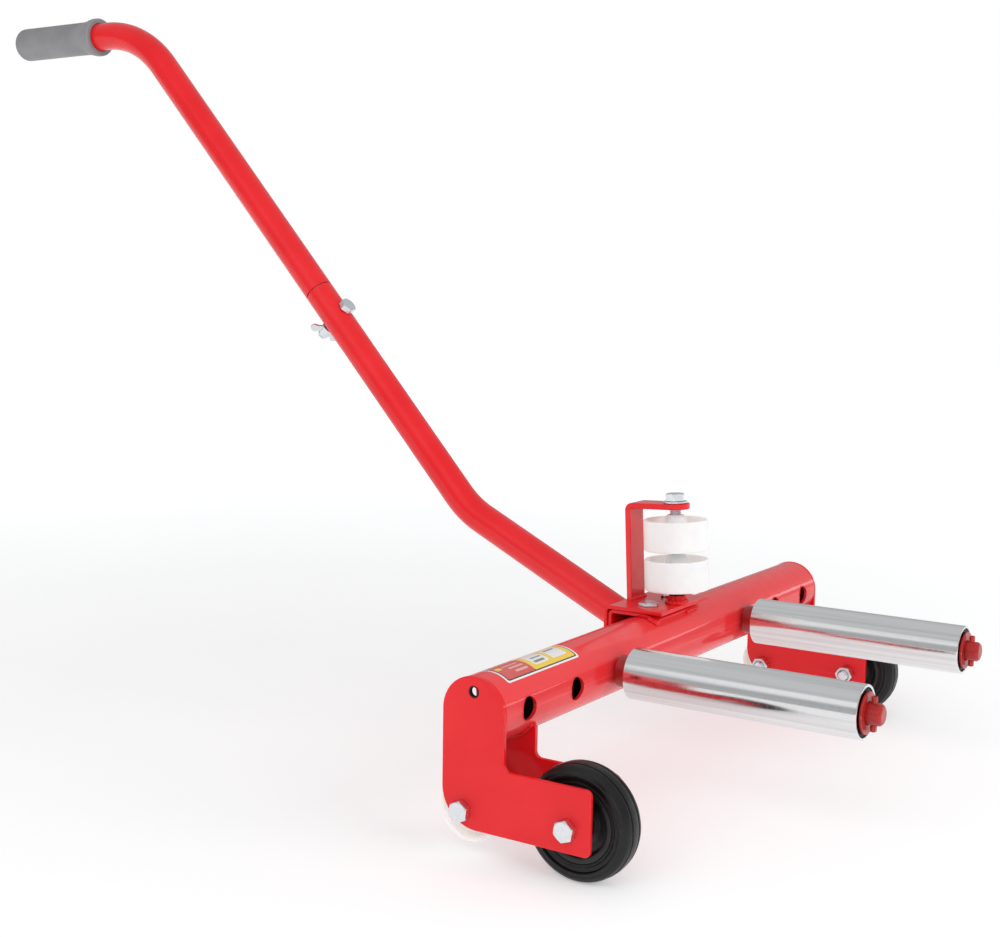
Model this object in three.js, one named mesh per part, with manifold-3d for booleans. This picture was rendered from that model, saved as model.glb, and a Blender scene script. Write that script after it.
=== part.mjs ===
// Wheel dolly: a crossbeam on two forks carries a pair of chromed rollers that cradle a vehicle's wheel,
// a guide arm whose two nylon rollers steady it, and a bent handle that splits at a bolted joint.
//
// Millimetres, +Z up. Everything is drawn in the beam frame, whose origin is the middle of the crossbeam's
// axis: +X along the crossbeam, -Y towards the chromed rollers, +Y towards the handle. The exported group
// then shifts that frame, so that the part's origin is on the floor under the middle of the whole dolly.
import * as THREE from "three";
import { mergeVertices } from "three/addons/utils/BufferGeometryUtils.js";
import Module from "manifold-3d";

const wasm = await Module();
wasm.setup();

// ---------------------------------------------------------------------------------------- dimensions

const GAP = 0.3; // between pieces that touch
const PLATE = 4; // sheet thickness of the bent brackets
const FORK_PLATE = 4.5; // sheet thickness of the fork plates
const CLEAR = 60; // half length of a cutting tool, past anything that it cuts

const BEAM = { radius: 31.75, wall: 3, end: 346.2 };
const STATIONS = [145, 227.5, 310]; // where a roller axle can be plugged in, out from mid beam
const AXLE_HOLE = 11.2;

const FORK = {
  outerFace: 351, // outside of the outer plate
  innerFace: 295.5, // inboard side of the inner plate
  rear: 32.4,
  neck: -31.8, // front edge of the upright leg
  front: -118,
  armTop: -46.5,
  bottom: -104.8,
  heel: 36, // corner radius behind the rear roller
  corner: 6,
  innerTop: -18, // the inner plate's horns stop here, below the beam's widest line
};
const VENT = { z: 18.6, radius: 5.2 };

const M12 = { shank: 6, hole: 6.4, acrossFlats: 18, head: 7.5, nut: 10.5 };
const M10 = { shank: 5, hole: 5.4, acrossFlats: 17.5, head: 7, nut: 8.4 };

const SLEEVE_RADIUS = 8; // steel tube that the fork bolt clamps between the plates
const WHEEL = { y: -95.5, z: -84, radius: 51.5, treadWidth: 30, treadFlat: 10, crown: 1.2 };
const RIM = { radius: 34, width: 25, webWidth: 12, lip: 5, hubRadius: 15, hubWidth: 41 };
const REAR_ROLLER = { y: 11, z: -89, radius: 31.5, width: 34, rim: 4, recess: 6, hubRadius: 14 };
const FORK_MIDDLE = 323.25; // half way between the two plates of a fork

const ROLLER = { radius: 25, wall: 2.6, back: -46.6, front: -275.5 };
const AXLE = { radius: 10.5, tail: 38, tip: -290.5, chamfer: 2.2, neck: -275.4, neckRadius: 10, round: 4 };
const BUSH_LENGTH = 14;
const COLLAR_RADIUS = 15.5;
const WASHER = { radius: 19.2, thickness: 2.6 };
const ROLL_PIN = { radius: 2.9, length: 31.6, y: -282.8 };

const SADDLE = { halfLength: 51, wrap: 37, webBottom: -14 };
const BASE_PLATE = { halfLength: 53, front: -27, bend: 7, webBottom: -12 };
const COACH_BOLT = { x: 28.5, y: 1.5, headRadius: 10.5, headHeight: 4.6, end: -46 };

const GUIDE = {
  lean: 3, // degrees, backwards
  axisY: -17.4, // of the guide rollers, where it crosses the base plate
  backFace: 34.2,
  barWidth: 30,
  barThickness: 6,
  underArm: 98.2, // all heights above the base plate
  bend: 8,
  nutHeight: 12.4,
  boltFoot: 1.5, // the bolt's end
};
const GUIDE_WASHER = { radius: 12.5, thickness: 2 };
const GUIDE_ROLLER = {
  undersides: { lower: 12.8, upper: 54.3 },
  radius: 33.5,
  height: 33,
  rim: 3.2,
  floor: 9, // how thick the bottom of its groove is
  hubFoot: 12,
  hubNose: 8.5,
  hubTop: 38,
};

const HANDLE = {
  radius: 17.2, // of its tube
  wall: 1.6,
  rootZ: 15, // where its centreline meets the base plate's web
  lowerSlope: 25.8, // degrees
  upperSlope: 47.6,
  lowerBendY: 247,
  gripZ: 680,
  end: 971,
  lowerBendRadius: 110,
  upperBendRadius: 135,
  seam: 328, // along the upper run, from the lower bend's corner
  bolt: 286, // the handle bolt, along the same run
};
const SPIGOT = { radius: 15.3, wall: 2, below: 76, above: 60 };
const GRIP = { radius: 20.9, mouth: 837, end: 984, round: 7.5, flange: 23.8, flangeWidth: 20 };
const WING_NUT = {
  hubRadius: 8.2,
  hubHeight: 8,
  reach: 18.5, // from its axis to a wing's tip
  wingTop: 14.5,
  wingRound: 5.2,
  thickness: 3.4,
  turn: 147, // degrees, about its bolt
  boltBeyond: 16, // from the tube to the end of the bolt
};

const FLOOR_BELOW_BEAM = WHEEL.radius - WHEEL.z;
const MIDDLE_Y = (AXLE.tip + GRIP.end) / 2;

// ---------------------------------------------------------------------------------------- materials

const finish = (color, roughness, metalness) => ({ color, roughness, metalness });
const RED = finish(0xd8202a, 0.28, 0.1);
const CHROME = finish(0xd4d6d8, 0.12, 1);
const ZINC = finish(0xc3c8c8, 0.35, 0.9);
const STEEL = finish(0x8d9093, 0.4, 0.9);
const NYLON = finish(0xf2f1ec, 0.45, 0);
const RUBBER = finish(0x1d1e20, 0.75, 0);
const BLACK_PLASTIC = finish(0x161719, 0.5, 0);
const GREY_RUBBER = finish(0x8e8f93, 0.7, 0);

// ---------------------------------------------------------------------------------------- helpers

const radians = THREE.MathUtils.degToRad;
const AXIS_TURN = {
  x: new THREE.Matrix4().makeRotationZ(-Math.PI / 2),
  y: new THREE.Matrix4(),
  z: new THREE.Matrix4().makeRotationX(Math.PI / 2),
};
// Takes a shape drawn in (Y, Z) and extruded along its own third axis to run along +X.
const YZ_ALONG_X = new THREE.Matrix4().makeBasis(
  new THREE.Vector3(0, 1, 0),
  new THREE.Vector3(0, 0, 1),
  new THREE.Vector3(1, 0, 0),
);

function solid(geometry) {
  const bare = geometry.clone();
  bare.deleteAttribute("normal");
  bare.deleteAttribute("uv");
  const merged = mergeVertices(bare, 1e-4);
  return new wasm.Manifold(
    new wasm.Mesh({
      numProp: 3,
      vertProperties: merged.attributes.position.array,
      triVerts: new Uint32Array(merged.index.array),
    }),
  );
}

function geometryOf(made) {
  const { vertProperties, triVerts } = made.getMesh();
  return new THREE.BufferGeometry()
    .setAttribute("position", new THREE.BufferAttribute(vertProperties, 3))
    .setIndex(new THREE.BufferAttribute(triVerts, 1));
}

const join = (base, ...added) =>
  geometryOf(added.reduce((sum, g) => sum.add(solid(g)), solid(base)));
const cut = (base, ...tools) =>
  geometryOf(tools.reduce((rest, g) => rest.subtract(solid(g)), solid(base)));

// A profile of [radius, position] pairs turned about an axis. A half step of turn puts flats, not edges,
// on the main directions.
function lathe(profile, segments, axis = "z", halfStep = false) {
  const points = profile.map(([r, h]) => new THREE.Vector2(r, h));
  const start = halfStep ? Math.PI / segments : 0;
  return new THREE.LatheGeometry(points, segments, start).applyMatrix4(AXIS_TURN[axis]);
}

function rod(radius, from, to, segments, axis) {
  return lathe([[0, from], [radius, from], [radius, to], [0, to]], segments, axis);
}

function ring(outer, inner, from, to, segments, axis) {
  const profile = [[inner, from], [outer, from], [outer, to], [inner, to], [inner, from]];
  return lathe(profile, segments, axis);
}

function box(low, high) {
  const size = high.map((h, i) => h - low[i]);
  const middle = high.map((h, i) => (h + low[i]) / 2);
  return new THREE.BoxGeometry(...size).translate(...middle);
}

function extrudeAlongX(shape, from, to, curveSegments = 4) {
  const options = { depth: to - from, bevelEnabled: false, curveSegments };
  return new THREE.ExtrudeGeometry(shape, options)
    .applyMatrix4(YZ_ALONG_X)
    .translate(from, 0, 0);
}

// A hexagonal head or nut along +Z, its flats given across.
const hexagon = (acrossFlats, from, to) =>
  lathe(
    [[0, from], [acrossFlats / Math.sqrt(3), from], [acrossFlats / Math.sqrt(3), to], [0, to]],
    6,
  );

// A bolt along Z with the underside of its head at z = 0 and its shank below.
const hexBolt = (size, length) =>
  join(hexagon(size.acrossFlats, 0, size.head), rod(size.shank, -length, 0.5, 16, "z"));

const hexNut = (size, height) =>
  cut(hexagon(size.acrossFlats, 0, height), rod(size.hole - 0.1, -1, height + 1, 16, "z"));

// A centreline in the plane x = 0 whose equal steps visit its points in turn, so that straight runs
// take one step each and bends take many.
class BentLine extends THREE.Curve {
  constructor(points) {
    super();
    this.points = points.map(([y, z]) => new THREE.Vector3(0, y, z));
  }
  get steps() {
    return this.points.length - 1;
  }
  getUtoTmapping(u) {
    return u;
  }
  getPoint(t, target = new THREE.Vector3()) {
    const place = Math.min(t * this.steps, this.steps - 1e-9);
    const i = Math.floor(place);
    return target.lerpVectors(this.points[i], this.points[i + 1], place - i);
  }
  getTangent(t, target = new THREE.Vector3()) {
    const i = Math.round(t * this.steps);
    const before = this.points[Math.max(i - 1, 0)];
    const after = this.points[Math.min(i + 1, this.steps)];
    return target.subVectors(after, before).normalize();
  }
}

// Points of a round bend at a corner between two directions, given in degrees in the (Y, Z) plane.
function bendPoints([y, z], fromAngle, toAngle, radius, steps) {
  const half = radians(toAngle - fromAngle) / 2;
  const run = radius * Math.tan(Math.abs(half));
  const side = Math.sign(half);
  const start = radians(fromAngle);
  const centre = [
    y - run * Math.cos(start) - side * radius * Math.sin(start),
    z - run * Math.sin(start) + side * radius * Math.cos(start),
  ];
  return Array.from({ length: steps + 1 }, (_, i) => {
    const heading = start + (2 * half * i) / steps;
    return [
      centre[0] + side * radius * Math.sin(heading),
      centre[1] - side * radius * Math.cos(heading),
    ];
  });
}

function bentTube(points, outer, inner, segments) {
  const line = new BentLine(points);
  const circle = (r) =>
    Array.from({ length: segments }, (_, i) => {
      const turn = (2 * Math.PI * i) / segments;
      return new THREE.Vector2(r * Math.cos(turn), r * Math.sin(turn));
    });
  const section = new THREE.Shape(circle(outer));
  section.holes.push(new THREE.Path(circle(inner)));
  return new THREE.ExtrudeGeometry(section, { steps: line.steps, extrudePath: line });
}

function mesh(parent, name, geometry, look, position = [0, 0, 0], rotation = [0, 0, 0]) {
  const made = new THREE.Mesh(geometry, new THREE.MeshStandardMaterial(look));
  made.name = name;
  made.position.set(...position);
  made.rotation.set(...rotation);
  parent.add(made);
}

// ---------------------------------------------------------------------------------------- crossbeam

const beamFrame = new THREE.Group();
beamFrame.position.set(0, -MIDDLE_Y, FLOOR_BELOW_BEAM);

const SIDES = [
  { side: "left", sign: -1 },
  { side: "right", sign: 1 },
];

function crossbeam() {
  const tube = ring(BEAM.radius, BEAM.radius - BEAM.wall, -BEAM.end, BEAM.end, 36, "x");
  const axleHoles = SIDES.flatMap(({ sign }) =>
    STATIONS.map((x) => rod(AXLE_HOLE, -CLEAR, CLEAR, 16, "y").translate(sign * x, 0, 0)),
  );
  const boltHoles = SIDES.map(({ sign }) =>
    rod(M10.hole, -CLEAR, CLEAR, 12, "z").translate(sign * COACH_BOLT.x, COACH_BOLT.y, 0),
  );
  return cut(tube, ...axleHoles, ...boltHoles);
}
mesh(beamFrame, "crossbeam_tube", crossbeam(), RED);

// ---------------------------------------------------------------------------------------- forks

// The L-shaped plate in (Y, Z): an upright leg with a round top around the beam, and an arm to the front.
function forkOutline() {
  const { rear, neck, front, armTop, bottom, heel, corner } = FORK;
  const archRadius = (rear - neck) / 2;
  const quarter = Math.PI / 2;
  return new THREE.Shape()
    .absarc((rear + neck) / 2, 0, archRadius, 0, 2 * quarter)
    .absarc(neck - corner, armTop + corner, corner, 0, -quarter, true)
    .absarc(front + corner, armTop - corner, corner, quarter, 2 * quarter)
    .absarc(front + corner, bottom + corner, corner, 2 * quarter, 3 * quarter)
    .absarc(rear - heel, bottom + heel, heel, 3 * quarter, 4 * quarter);
}

function forkPlate(from) {
  const plate = extrudeAlongX(forkOutline(), from, from + FORK_PLATE);
  const boltHole = ({ y, z }) =>
    rod(M12.hole, from - 1, from + FORK_PLATE + 1, 16, "x").translate(0, y, z);
  return cut(plate, boltHole(WHEEL), boltHole(REAR_ROLLER));
}

function forkOuterPlate(from) {
  const vent = rod(VENT.radius, from - 1, from + FORK_PLATE + 1, 16, "x").translate(0, 0, VENT.z);
  return cut(forkPlate(from), vent);
}

function forkInnerPlate(from) {
  const to = from + FORK_PLATE;
  const beam = rod(BEAM.radius + GAP, from - 1, to + 1, 40, "x");
  const top = box([from - 1, -CLEAR, FORK.innerTop], [to + 1, CLEAR, CLEAR]);
  return cut(forkPlate(from), beam, top);
}

// ---------------------------------------------------------------------------------------- wheels

const BORE = SLEEVE_RADIUS + 0.4;

// The tread's vertices stand proud of its radius, so that its flats lie exactly at that radius.
function tyre() {
  const segments = 40;
  const flat = 1 / Math.cos(Math.PI / segments);
  const edge = WHEEL.treadWidth / 2;
  const seat = RIM.radius + GAP;
  const tread = WHEEL.radius * flat;
  const shoulder = (WHEEL.radius - WHEEL.crown) * flat;
  const profile = [
    [seat, -edge + 2],
    [WHEEL.radius - 5, -edge],
    [shoulder, -edge + 5],
    [tread, -WHEEL.treadFlat / 2],
    [tread, WHEEL.treadFlat / 2],
    [shoulder, edge - 5],
    [WHEEL.radius - 5, edge],
    [seat, edge - 2],
    [seat, -edge + 2],
  ];
  return lathe(profile, segments, "x", true);
}

function wheelRim() {
  const { radius, lip, hubRadius } = RIM;
  const half = RIM.width / 2;
  const web = RIM.webWidth / 2;
  const hub = RIM.hubWidth / 2;
  const profile = [
    [BORE, -hub],
    [hubRadius, -hub],
    [hubRadius + 1, -web],
    [radius - lip - 1, -web],
    [radius - lip, -half],
    [radius, -half],
    [radius, half],
    [radius - lip, half],
    [radius - lip - 1, web],
    [hubRadius + 1, web],
    [hubRadius, hub],
    [BORE, hub],
    [BORE, -hub],
  ];
  return lathe(profile, 24, "x");
}

function rearRoller() {
  const { radius, rim, recess, hubRadius } = REAR_ROLLER;
  const half = REAR_ROLLER.width / 2;
  const hub = RIM.hubWidth / 2;
  const web = half - recess;
  const profile = [
    [BORE, -hub],
    [hubRadius, -hub],
    [hubRadius + 1, -web],
    [radius - rim - 1, -web],
    [radius - rim, -half],
    [radius, -half],
    [radius, half],
    [radius - rim, half],
    [radius - rim - 1, web],
    [hubRadius + 1, web],
    [hubRadius, hub],
    [BORE, hub],
    [BORE, -hub],
  ];
  return lathe(profile, 28, "x");
}

// A fork's axle: a bolt whose head is outside, a sleeve between the plates and a nut inboard.
function forkAxle(side, sign, name, { y, z }) {
  const sleeveEnd = FORK.outerFace - FORK_PLATE - GAP;
  const sleeveStart = FORK.innerFace + FORK_PLATE + GAP;
  const outwards = [0, sign * (Math.PI / 2), 0];
  const length = FORK.outerFace - FORK.innerFace + M12.nut + 4;
  const at = (x) => [sign * x, y, z];
  const sleeve = ring(SLEEVE_RADIUS, M12.hole, sleeveStart, sleeveEnd, 16, "z");
  mesh(beamFrame, `${name}_bolt_${side}`, hexBolt(M12, length), ZINC,
    at(FORK.outerFace + GAP), outwards);
  mesh(beamFrame, `${name}_sleeve_${side}`, sleeve, STEEL, at(0), outwards);
  mesh(beamFrame, `${name}_nut_${side}`, hexNut(M12, M12.nut), ZINC,
    at(FORK.innerFace - GAP - M12.nut), outwards);
}

for (const { side, sign } of SIDES) {
  const outer = sign > 0 ? FORK.outerFace - FORK_PLATE : -FORK.outerFace;
  const inner = sign > 0 ? FORK.innerFace : -FORK.innerFace - FORK_PLATE;
  mesh(beamFrame, `fork_outer_plate_${side}`, forkOuterPlate(outer), RED);
  mesh(beamFrame, `fork_inner_plate_${side}`, forkInnerPlate(inner), RED);
  const wheelAt = [sign * FORK_MIDDLE, WHEEL.y, WHEEL.z];
  mesh(beamFrame, `tyre_${side}`, tyre(), RUBBER, wheelAt);
  mesh(beamFrame, `wheel_rim_${side}`, wheelRim(), BLACK_PLASTIC, wheelAt);
  forkAxle(side, sign, "wheel", WHEEL);
  const rollerAt = [sign * FORK_MIDDLE, REAR_ROLLER.y, REAR_ROLLER.z];
  mesh(beamFrame, `rear_roller_${side}`, rearRoller(), NYLON, rollerAt);
  forkAxle(side, sign, "rear_roller", REAR_ROLLER);
}

// ---------------------------------------------------------------------------------------- chromed rollers

const RUNNING_BORE = AXLE.radius + 0.4;
const ROLLER_BORE = ROLLER.radius - ROLLER.wall;

// A round bar with chamfered ends, cross-drilled for the roll pin in front of the washer.
function rollerAxle() {
  const { radius, tail, tip, chamfer, neck, neckRadius, round } = AXLE;
  const bar = lathe(
    [
      [0, tip],
      [neckRadius - round, tip],
      [neckRadius - round * 0.3, tip + round * 0.3],
      [neckRadius, tip + round],
      [neckRadius, neck],
      [radius, neck],
      [radius, tail - chamfer],
      [radius - chamfer, tail],
      [0, tail],
    ],
    24,
    "y",
  );
  const drilled = rod(ROLL_PIN.radius + GAP, -CLEAR, CLEAR, 12, "z").translate(0, ROLL_PIN.y, 0);
  return cut(bar, drilled);
}

const bush = (front) =>
  ring(ROLLER_BORE - GAP, RUNNING_BORE, front, front + BUSH_LENGTH, 24, "y");

for (const { side, sign } of SIDES) {
  const axleFrame = new THREE.Group();
  axleFrame.position.x = sign * STATIONS[0];
  beamFrame.add(axleFrame);
  const beamFront = -BEAM.radius - GAP;
  const washerBack = ROLLER.front - GAP;
  const washerFront = washerBack - WASHER.thickness;
  const collar = ring(COLLAR_RADIUS, AXLE.radius + GAP, ROLLER.back + 1, beamFront, 20, "y");
  const washer = ring(WASHER.radius, AXLE.radius + GAP, washerFront, washerBack, 24, "y");
  const tube = ring(ROLLER.radius, ROLLER_BORE, ROLLER.front, ROLLER.back, 36, "y");
  const pin = rod(ROLL_PIN.radius, -ROLL_PIN.length / 2, ROLL_PIN.length / 2, 12, "z");
  mesh(axleFrame, `roller_axle_${side}`, rollerAxle(), RED);
  mesh(axleFrame, `roller_collar_${side}`, collar, RED);
  mesh(axleFrame, `roller_tube_${side}`, tube, CHROME);
  mesh(axleFrame, `roller_front_bush_${side}`, bush(ROLLER.front + GAP), BLACK_PLASTIC);
  mesh(axleFrame, `roller_back_bush_${side}`, bush(ROLLER.back - BUSH_LENGTH - GAP), BLACK_PLASTIC);
  mesh(axleFrame, `roller_washer_${side}`, washer, RED);
  mesh(axleFrame, `roller_pin_${side}`, pin, RED, [0, ROLL_PIN.y, 0]);
}

// ---------------------------------------------------------------------------------------- brackets

// The plate welded to the beam: wrapped over the beam's upper front, flat to the rear, then down.
function saddleBracket() {
  const inner = BEAM.radius + GAP;
  const outer = inner + PLATE;
  const top = Math.PI / 2;
  const wrapped = top + radians(SADDLE.wrap);
  const bend = 6;
  const corner = outer - bend;
  const shape = new THREE.Shape()
    .absarc(0, 0, outer, wrapped, top, true)
    .absarc(corner, corner, bend, top, 0, true)
    .lineTo(outer, SADDLE.webBottom)
    .lineTo(inner, SADDLE.webBottom)
    .absarc(corner, corner, bend - PLATE, 0, top)
    .absarc(0, 0, inner, top, wrapped);
  return extrudeAlongX(shape, -SADDLE.halfLength, SADDLE.halfLength);
}

const BASE_UNDER = BEAM.radius + PLATE + 2 * GAP;
const BASE_TOP = BASE_UNDER + PLATE;

// The bolted plate on top, with its web bent down behind the saddle to take the handle.
function basePlate() {
  const { front, bend, webBottom, halfLength } = BASE_PLATE;
  const corner = BASE_TOP - bend;
  const top = Math.PI / 2;
  const shape = new THREE.Shape()
    .moveTo(front, BASE_UNDER)
    .lineTo(front, BASE_TOP)
    .absarc(corner, corner, bend, top, 0, true)
    .lineTo(BASE_TOP, webBottom)
    .lineTo(BASE_UNDER, webBottom)
    .absarc(corner, corner, bend - PLATE, 0, top);
  return extrudeAlongX(shape, -halfLength, halfLength);
}

const boltTools = SIDES.map(({ sign }) =>
  rod(M10.hole, 0, CLEAR, 12, "z").translate(sign * COACH_BOLT.x, COACH_BOLT.y, 0),
);
mesh(beamFrame, "saddle_bracket", cut(saddleBracket(), ...boltTools), RED);
mesh(beamFrame, "guide_base_plate", cut(basePlate(), ...boltTools), RED);

// A mushroom-headed bolt right through both brackets and the beam.
function coachBolt() {
  const { headRadius, headHeight, end } = COACH_BOLT;
  const under = BASE_TOP + GAP;
  const profile = [
    [0, end],
    [M10.shank, end],
    [M10.shank, under],
    [headRadius, under],
    [headRadius, under + 1],
    [headRadius * 0.82, under + headHeight * 0.7],
    [headRadius * 0.4, under + headHeight],
    [0, under + headHeight],
  ];
  return lathe(profile, 20);
}
for (const { side, sign } of SIDES) {
  const at = [sign * COACH_BOLT.x, COACH_BOLT.y, 0];
  const nutAt = [at[0], at[1], -BEAM.radius - GAP - M10.nut];
  mesh(beamFrame, `bracket_bolt_${side}`, coachBolt(), ZINC, at);
  mesh(beamFrame, `bracket_nut_${side}`, hexNut(M10, M10.nut), ZINC, nutAt);
}

// ---------------------------------------------------------------------------------------- wheel guide

const guide = new THREE.Group();
guide.position.z = BASE_TOP;
guide.rotation.x = -radians(GUIDE.lean);
beamFrame.add(guide);

// A flat bar that stands on the base plate and bends forwards over the rollers, with a round nose.
function guideArm() {
  const { backFace, axisY, barWidth, barThickness, underArm, bend } = GUIDE;
  const top = underArm + barThickness;
  const half = barWidth / 2;
  const foot = backFace * Math.tan(radians(GUIDE.lean)) + GAP;
  const quarter = Math.PI / 2;
  const shape = new THREE.Shape()
    .moveTo(backFace - barThickness, foot)
    .lineTo(backFace, foot)
    .absarc(backFace - bend, top - bend, bend, 0, quarter)
    .lineTo(axisY, top)
    .lineTo(axisY, underArm)
    .absarc(backFace - bend, top - bend, bend - barThickness, quarter, 0, true);
  const nose = rod(half, underArm, top, 24, "z").translate(0, axisY, 0);
  const hole = rod(M12.hole, underArm - 1, top + 1, 16, "z").translate(0, axisY, 0);
  return cut(join(extrudeAlongX(shape, -half, half), nose), hole);
}

// A cup: a deep groove round a conical hub that stands above the rim.
function guideRoller(underside) {
  const { radius, height, rim, floor, hubFoot, hubNose, hubTop } = GUIDE_ROLLER;
  const bore = M12.shank + 0.4;
  const profile = [
    [bore, 0],
    [radius, 0],
    [radius, height],
    [radius - rim, height],
    [radius - rim - 2, floor],
    [hubFoot, floor],
    [hubFoot - 1, hubTop - 3],
    [hubNose, hubTop],
    [bore, hubTop],
    [bore, 0],
  ];
  return lathe(profile, 28).translate(0, 0, underside);
}

const armTop = GUIDE.underArm + GUIDE.barThickness;
const washerTop = armTop + GAP + GUIDE_WASHER.thickness;
const onAxis = [0, GUIDE.axisY, 0];
const guideWasher = ring(GUIDE_WASHER.radius, M12.hole, armTop + GAP, washerTop, 24, "z");
const guideBoltAt = [0, GUIDE.axisY, washerTop + GAP];
mesh(guide, "guide_arm", guideArm(), RED);
mesh(guide, "guide_base_nut", hexNut(M12, GUIDE.nutHeight), RED, onAxis);
mesh(guide, "guide_bolt", hexBolt(M12, washerTop + GAP - GUIDE.boltFoot), ZINC, guideBoltAt);
mesh(guide, "guide_washer", guideWasher, ZINC, onAxis);
for (const [level, underside] of Object.entries(GUIDE_ROLLER.undersides)) {
  mesh(guide, `guide_roller_${level}`, guideRoller(underside), NYLON, onAxis);
}

// ---------------------------------------------------------------------------------------- handle

const { lowerSlope, upperSlope } = HANDLE;
const WEB_FACE = BASE_TOP + GAP;
const lowerCorner = [
  HANDLE.lowerBendY,
  HANDLE.rootZ + (HANDLE.lowerBendY - WEB_FACE) * Math.tan(radians(lowerSlope)),
];
const upperRun = (HANDLE.gripZ - lowerCorner[1]) / Math.sin(radians(upperSlope));
const alongUpper = (distance) => [
  lowerCorner[0] + distance * Math.cos(radians(upperSlope)),
  lowerCorner[1] + distance * Math.sin(radians(upperSlope)),
];

function lowerHandleTube() {
  const hidden = 24; // drawn into the web and then cut off flush with it
  const start = [WEB_FACE - hidden, HANDLE.rootZ - hidden * Math.tan(radians(lowerSlope))];
  const bend = bendPoints(lowerCorner, lowerSlope, upperSlope, HANDLE.lowerBendRadius, 5);
  const points = [start, ...bend, alongUpper(HANDLE.seam - GAP)];
  const tube = bentTube(points, HANDLE.radius, HANDLE.radius - HANDLE.wall, 20);
  const inFrontOfWeb = box([-CLEAR, -CLEAR, -CLEAR], [CLEAR, WEB_FACE, CLEAR]);
  return cut(tube, inFrontOfWeb, handleDrill());
}

function upperHandleTube() {
  const bend = bendPoints(alongUpper(upperRun), upperSlope, 0, HANDLE.upperBendRadius, 9);
  const points = [alongUpper(HANDLE.seam), ...bend, [HANDLE.end, HANDLE.gripZ]];
  return bentTube(points, HANDLE.radius, HANDLE.radius - HANDLE.wall, 20);
}

function handleSpigot() {
  const points = [alongUpper(HANDLE.seam - SPIGOT.below), alongUpper(HANDLE.seam + SPIGOT.above)];
  const sleeve = bentTube(points, SPIGOT.radius, SPIGOT.radius - SPIGOT.wall, 20);
  return cut(sleeve, handleDrill());
}

// The bolt's frame: its own +Z runs square to the upper run, out of the tube's front.
const handleBoltFrame = new THREE.Group();
handleBoltFrame.position.set(0, ...alongUpper(HANDLE.bolt));
handleBoltFrame.rotation.x = radians(upperSlope);
handleBoltFrame.updateMatrix();
beamFrame.add(handleBoltFrame);

function handleDrill() {
  return rod(M10.hole, -CLEAR, CLEAR, 12, "z").applyMatrix4(handleBoltFrame.matrix);
}

function grip() {
  const { radius, mouth, end, round, flange, flangeWidth } = GRIP;
  const bore = HANDLE.radius + GAP;
  const inner = HANDLE.end + GAP;
  const profile = [
    [bore, mouth],
    [flange - 2, mouth],
    [flange, mouth + 3],
    [flange, mouth + flangeWidth - 5],
    [radius, mouth + flangeWidth],
    [radius, end - round],
    [radius - 2.6, end - 2.6],
    [radius - round, end],
    [0, end],
    [0, inner],
    [bore, inner],
    [bore, mouth],
  ];
  return lathe(profile, 24, "y").translate(0, 0, HANDLE.gripZ);
}

// A wing nut along -Z from the tube's rear: a round hub with two raised wings.
function wingNut() {
  const { hubRadius, hubHeight, reach, wingTop, wingRound, thickness } = WING_NUT;
  const hub = lathe([[0, 0], [hubRadius, 0], [hubRadius - 1.5, hubHeight], [0, hubHeight]], 20);
  const root = M10.hole + 0.2;
  const wing = new THREE.Shape()
    .moveTo(root, 1.5)
    .lineTo(11, 4)
    .absarc(reach - wingRound, wingTop - wingRound, wingRound, -0.9, 2.4)
    .lineTo(root, hubHeight - 1);
  const options = { depth: thickness, bevelEnabled: false, curveSegments: 5 };
  const wings = [0, Math.PI].map((turn) =>
    new THREE.ExtrudeGeometry(wing, options)
      .translate(0, 0, -thickness / 2)
      .rotateX(Math.PI / 2)
      .rotateZ(turn),
  );
  const bore = rod(M10.hole, -1, hubHeight + 1, 16, "z");
  return cut(join(hub, ...wings), bore).rotateX(Math.PI);
}

mesh(beamFrame, "lower_handle_tube", lowerHandleTube(), RED);
mesh(beamFrame, "upper_handle_tube", upperHandleTube(), RED);
mesh(beamFrame, "handle_spigot", handleSpigot(), STEEL);
mesh(beamFrame, "handle_grip", grip(), GREY_RUBBER);
const seat = HANDLE.radius + GAP;
const handleBolt = hexBolt(M10, 2 * seat + WING_NUT.boltBeyond);
mesh(handleBoltFrame, "handle_bolt", handleBolt, ZINC, [0, 0, seat]);
const wingNutTurn = [0, 0, radians(WING_NUT.turn)];
mesh(handleBoltFrame, "wing_nut", wingNut(), ZINC, [0, 0, -seat], wingNutTurn);

export default beamFrame;
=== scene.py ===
"""The looks of the wheel dolly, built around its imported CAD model.

Shapes are drawn in millimetres in the beam frame, whose origin is the middle of the crossbeam's axis:
+X along the crossbeam, -Y towards the chromed rollers, +Z up. build() takes them to the row frame.
"""
import math

import bmesh
import bpy
from mathutils import Matrix, Vector, noise
from mathutils.geometry import tessellate_polygon


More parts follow.
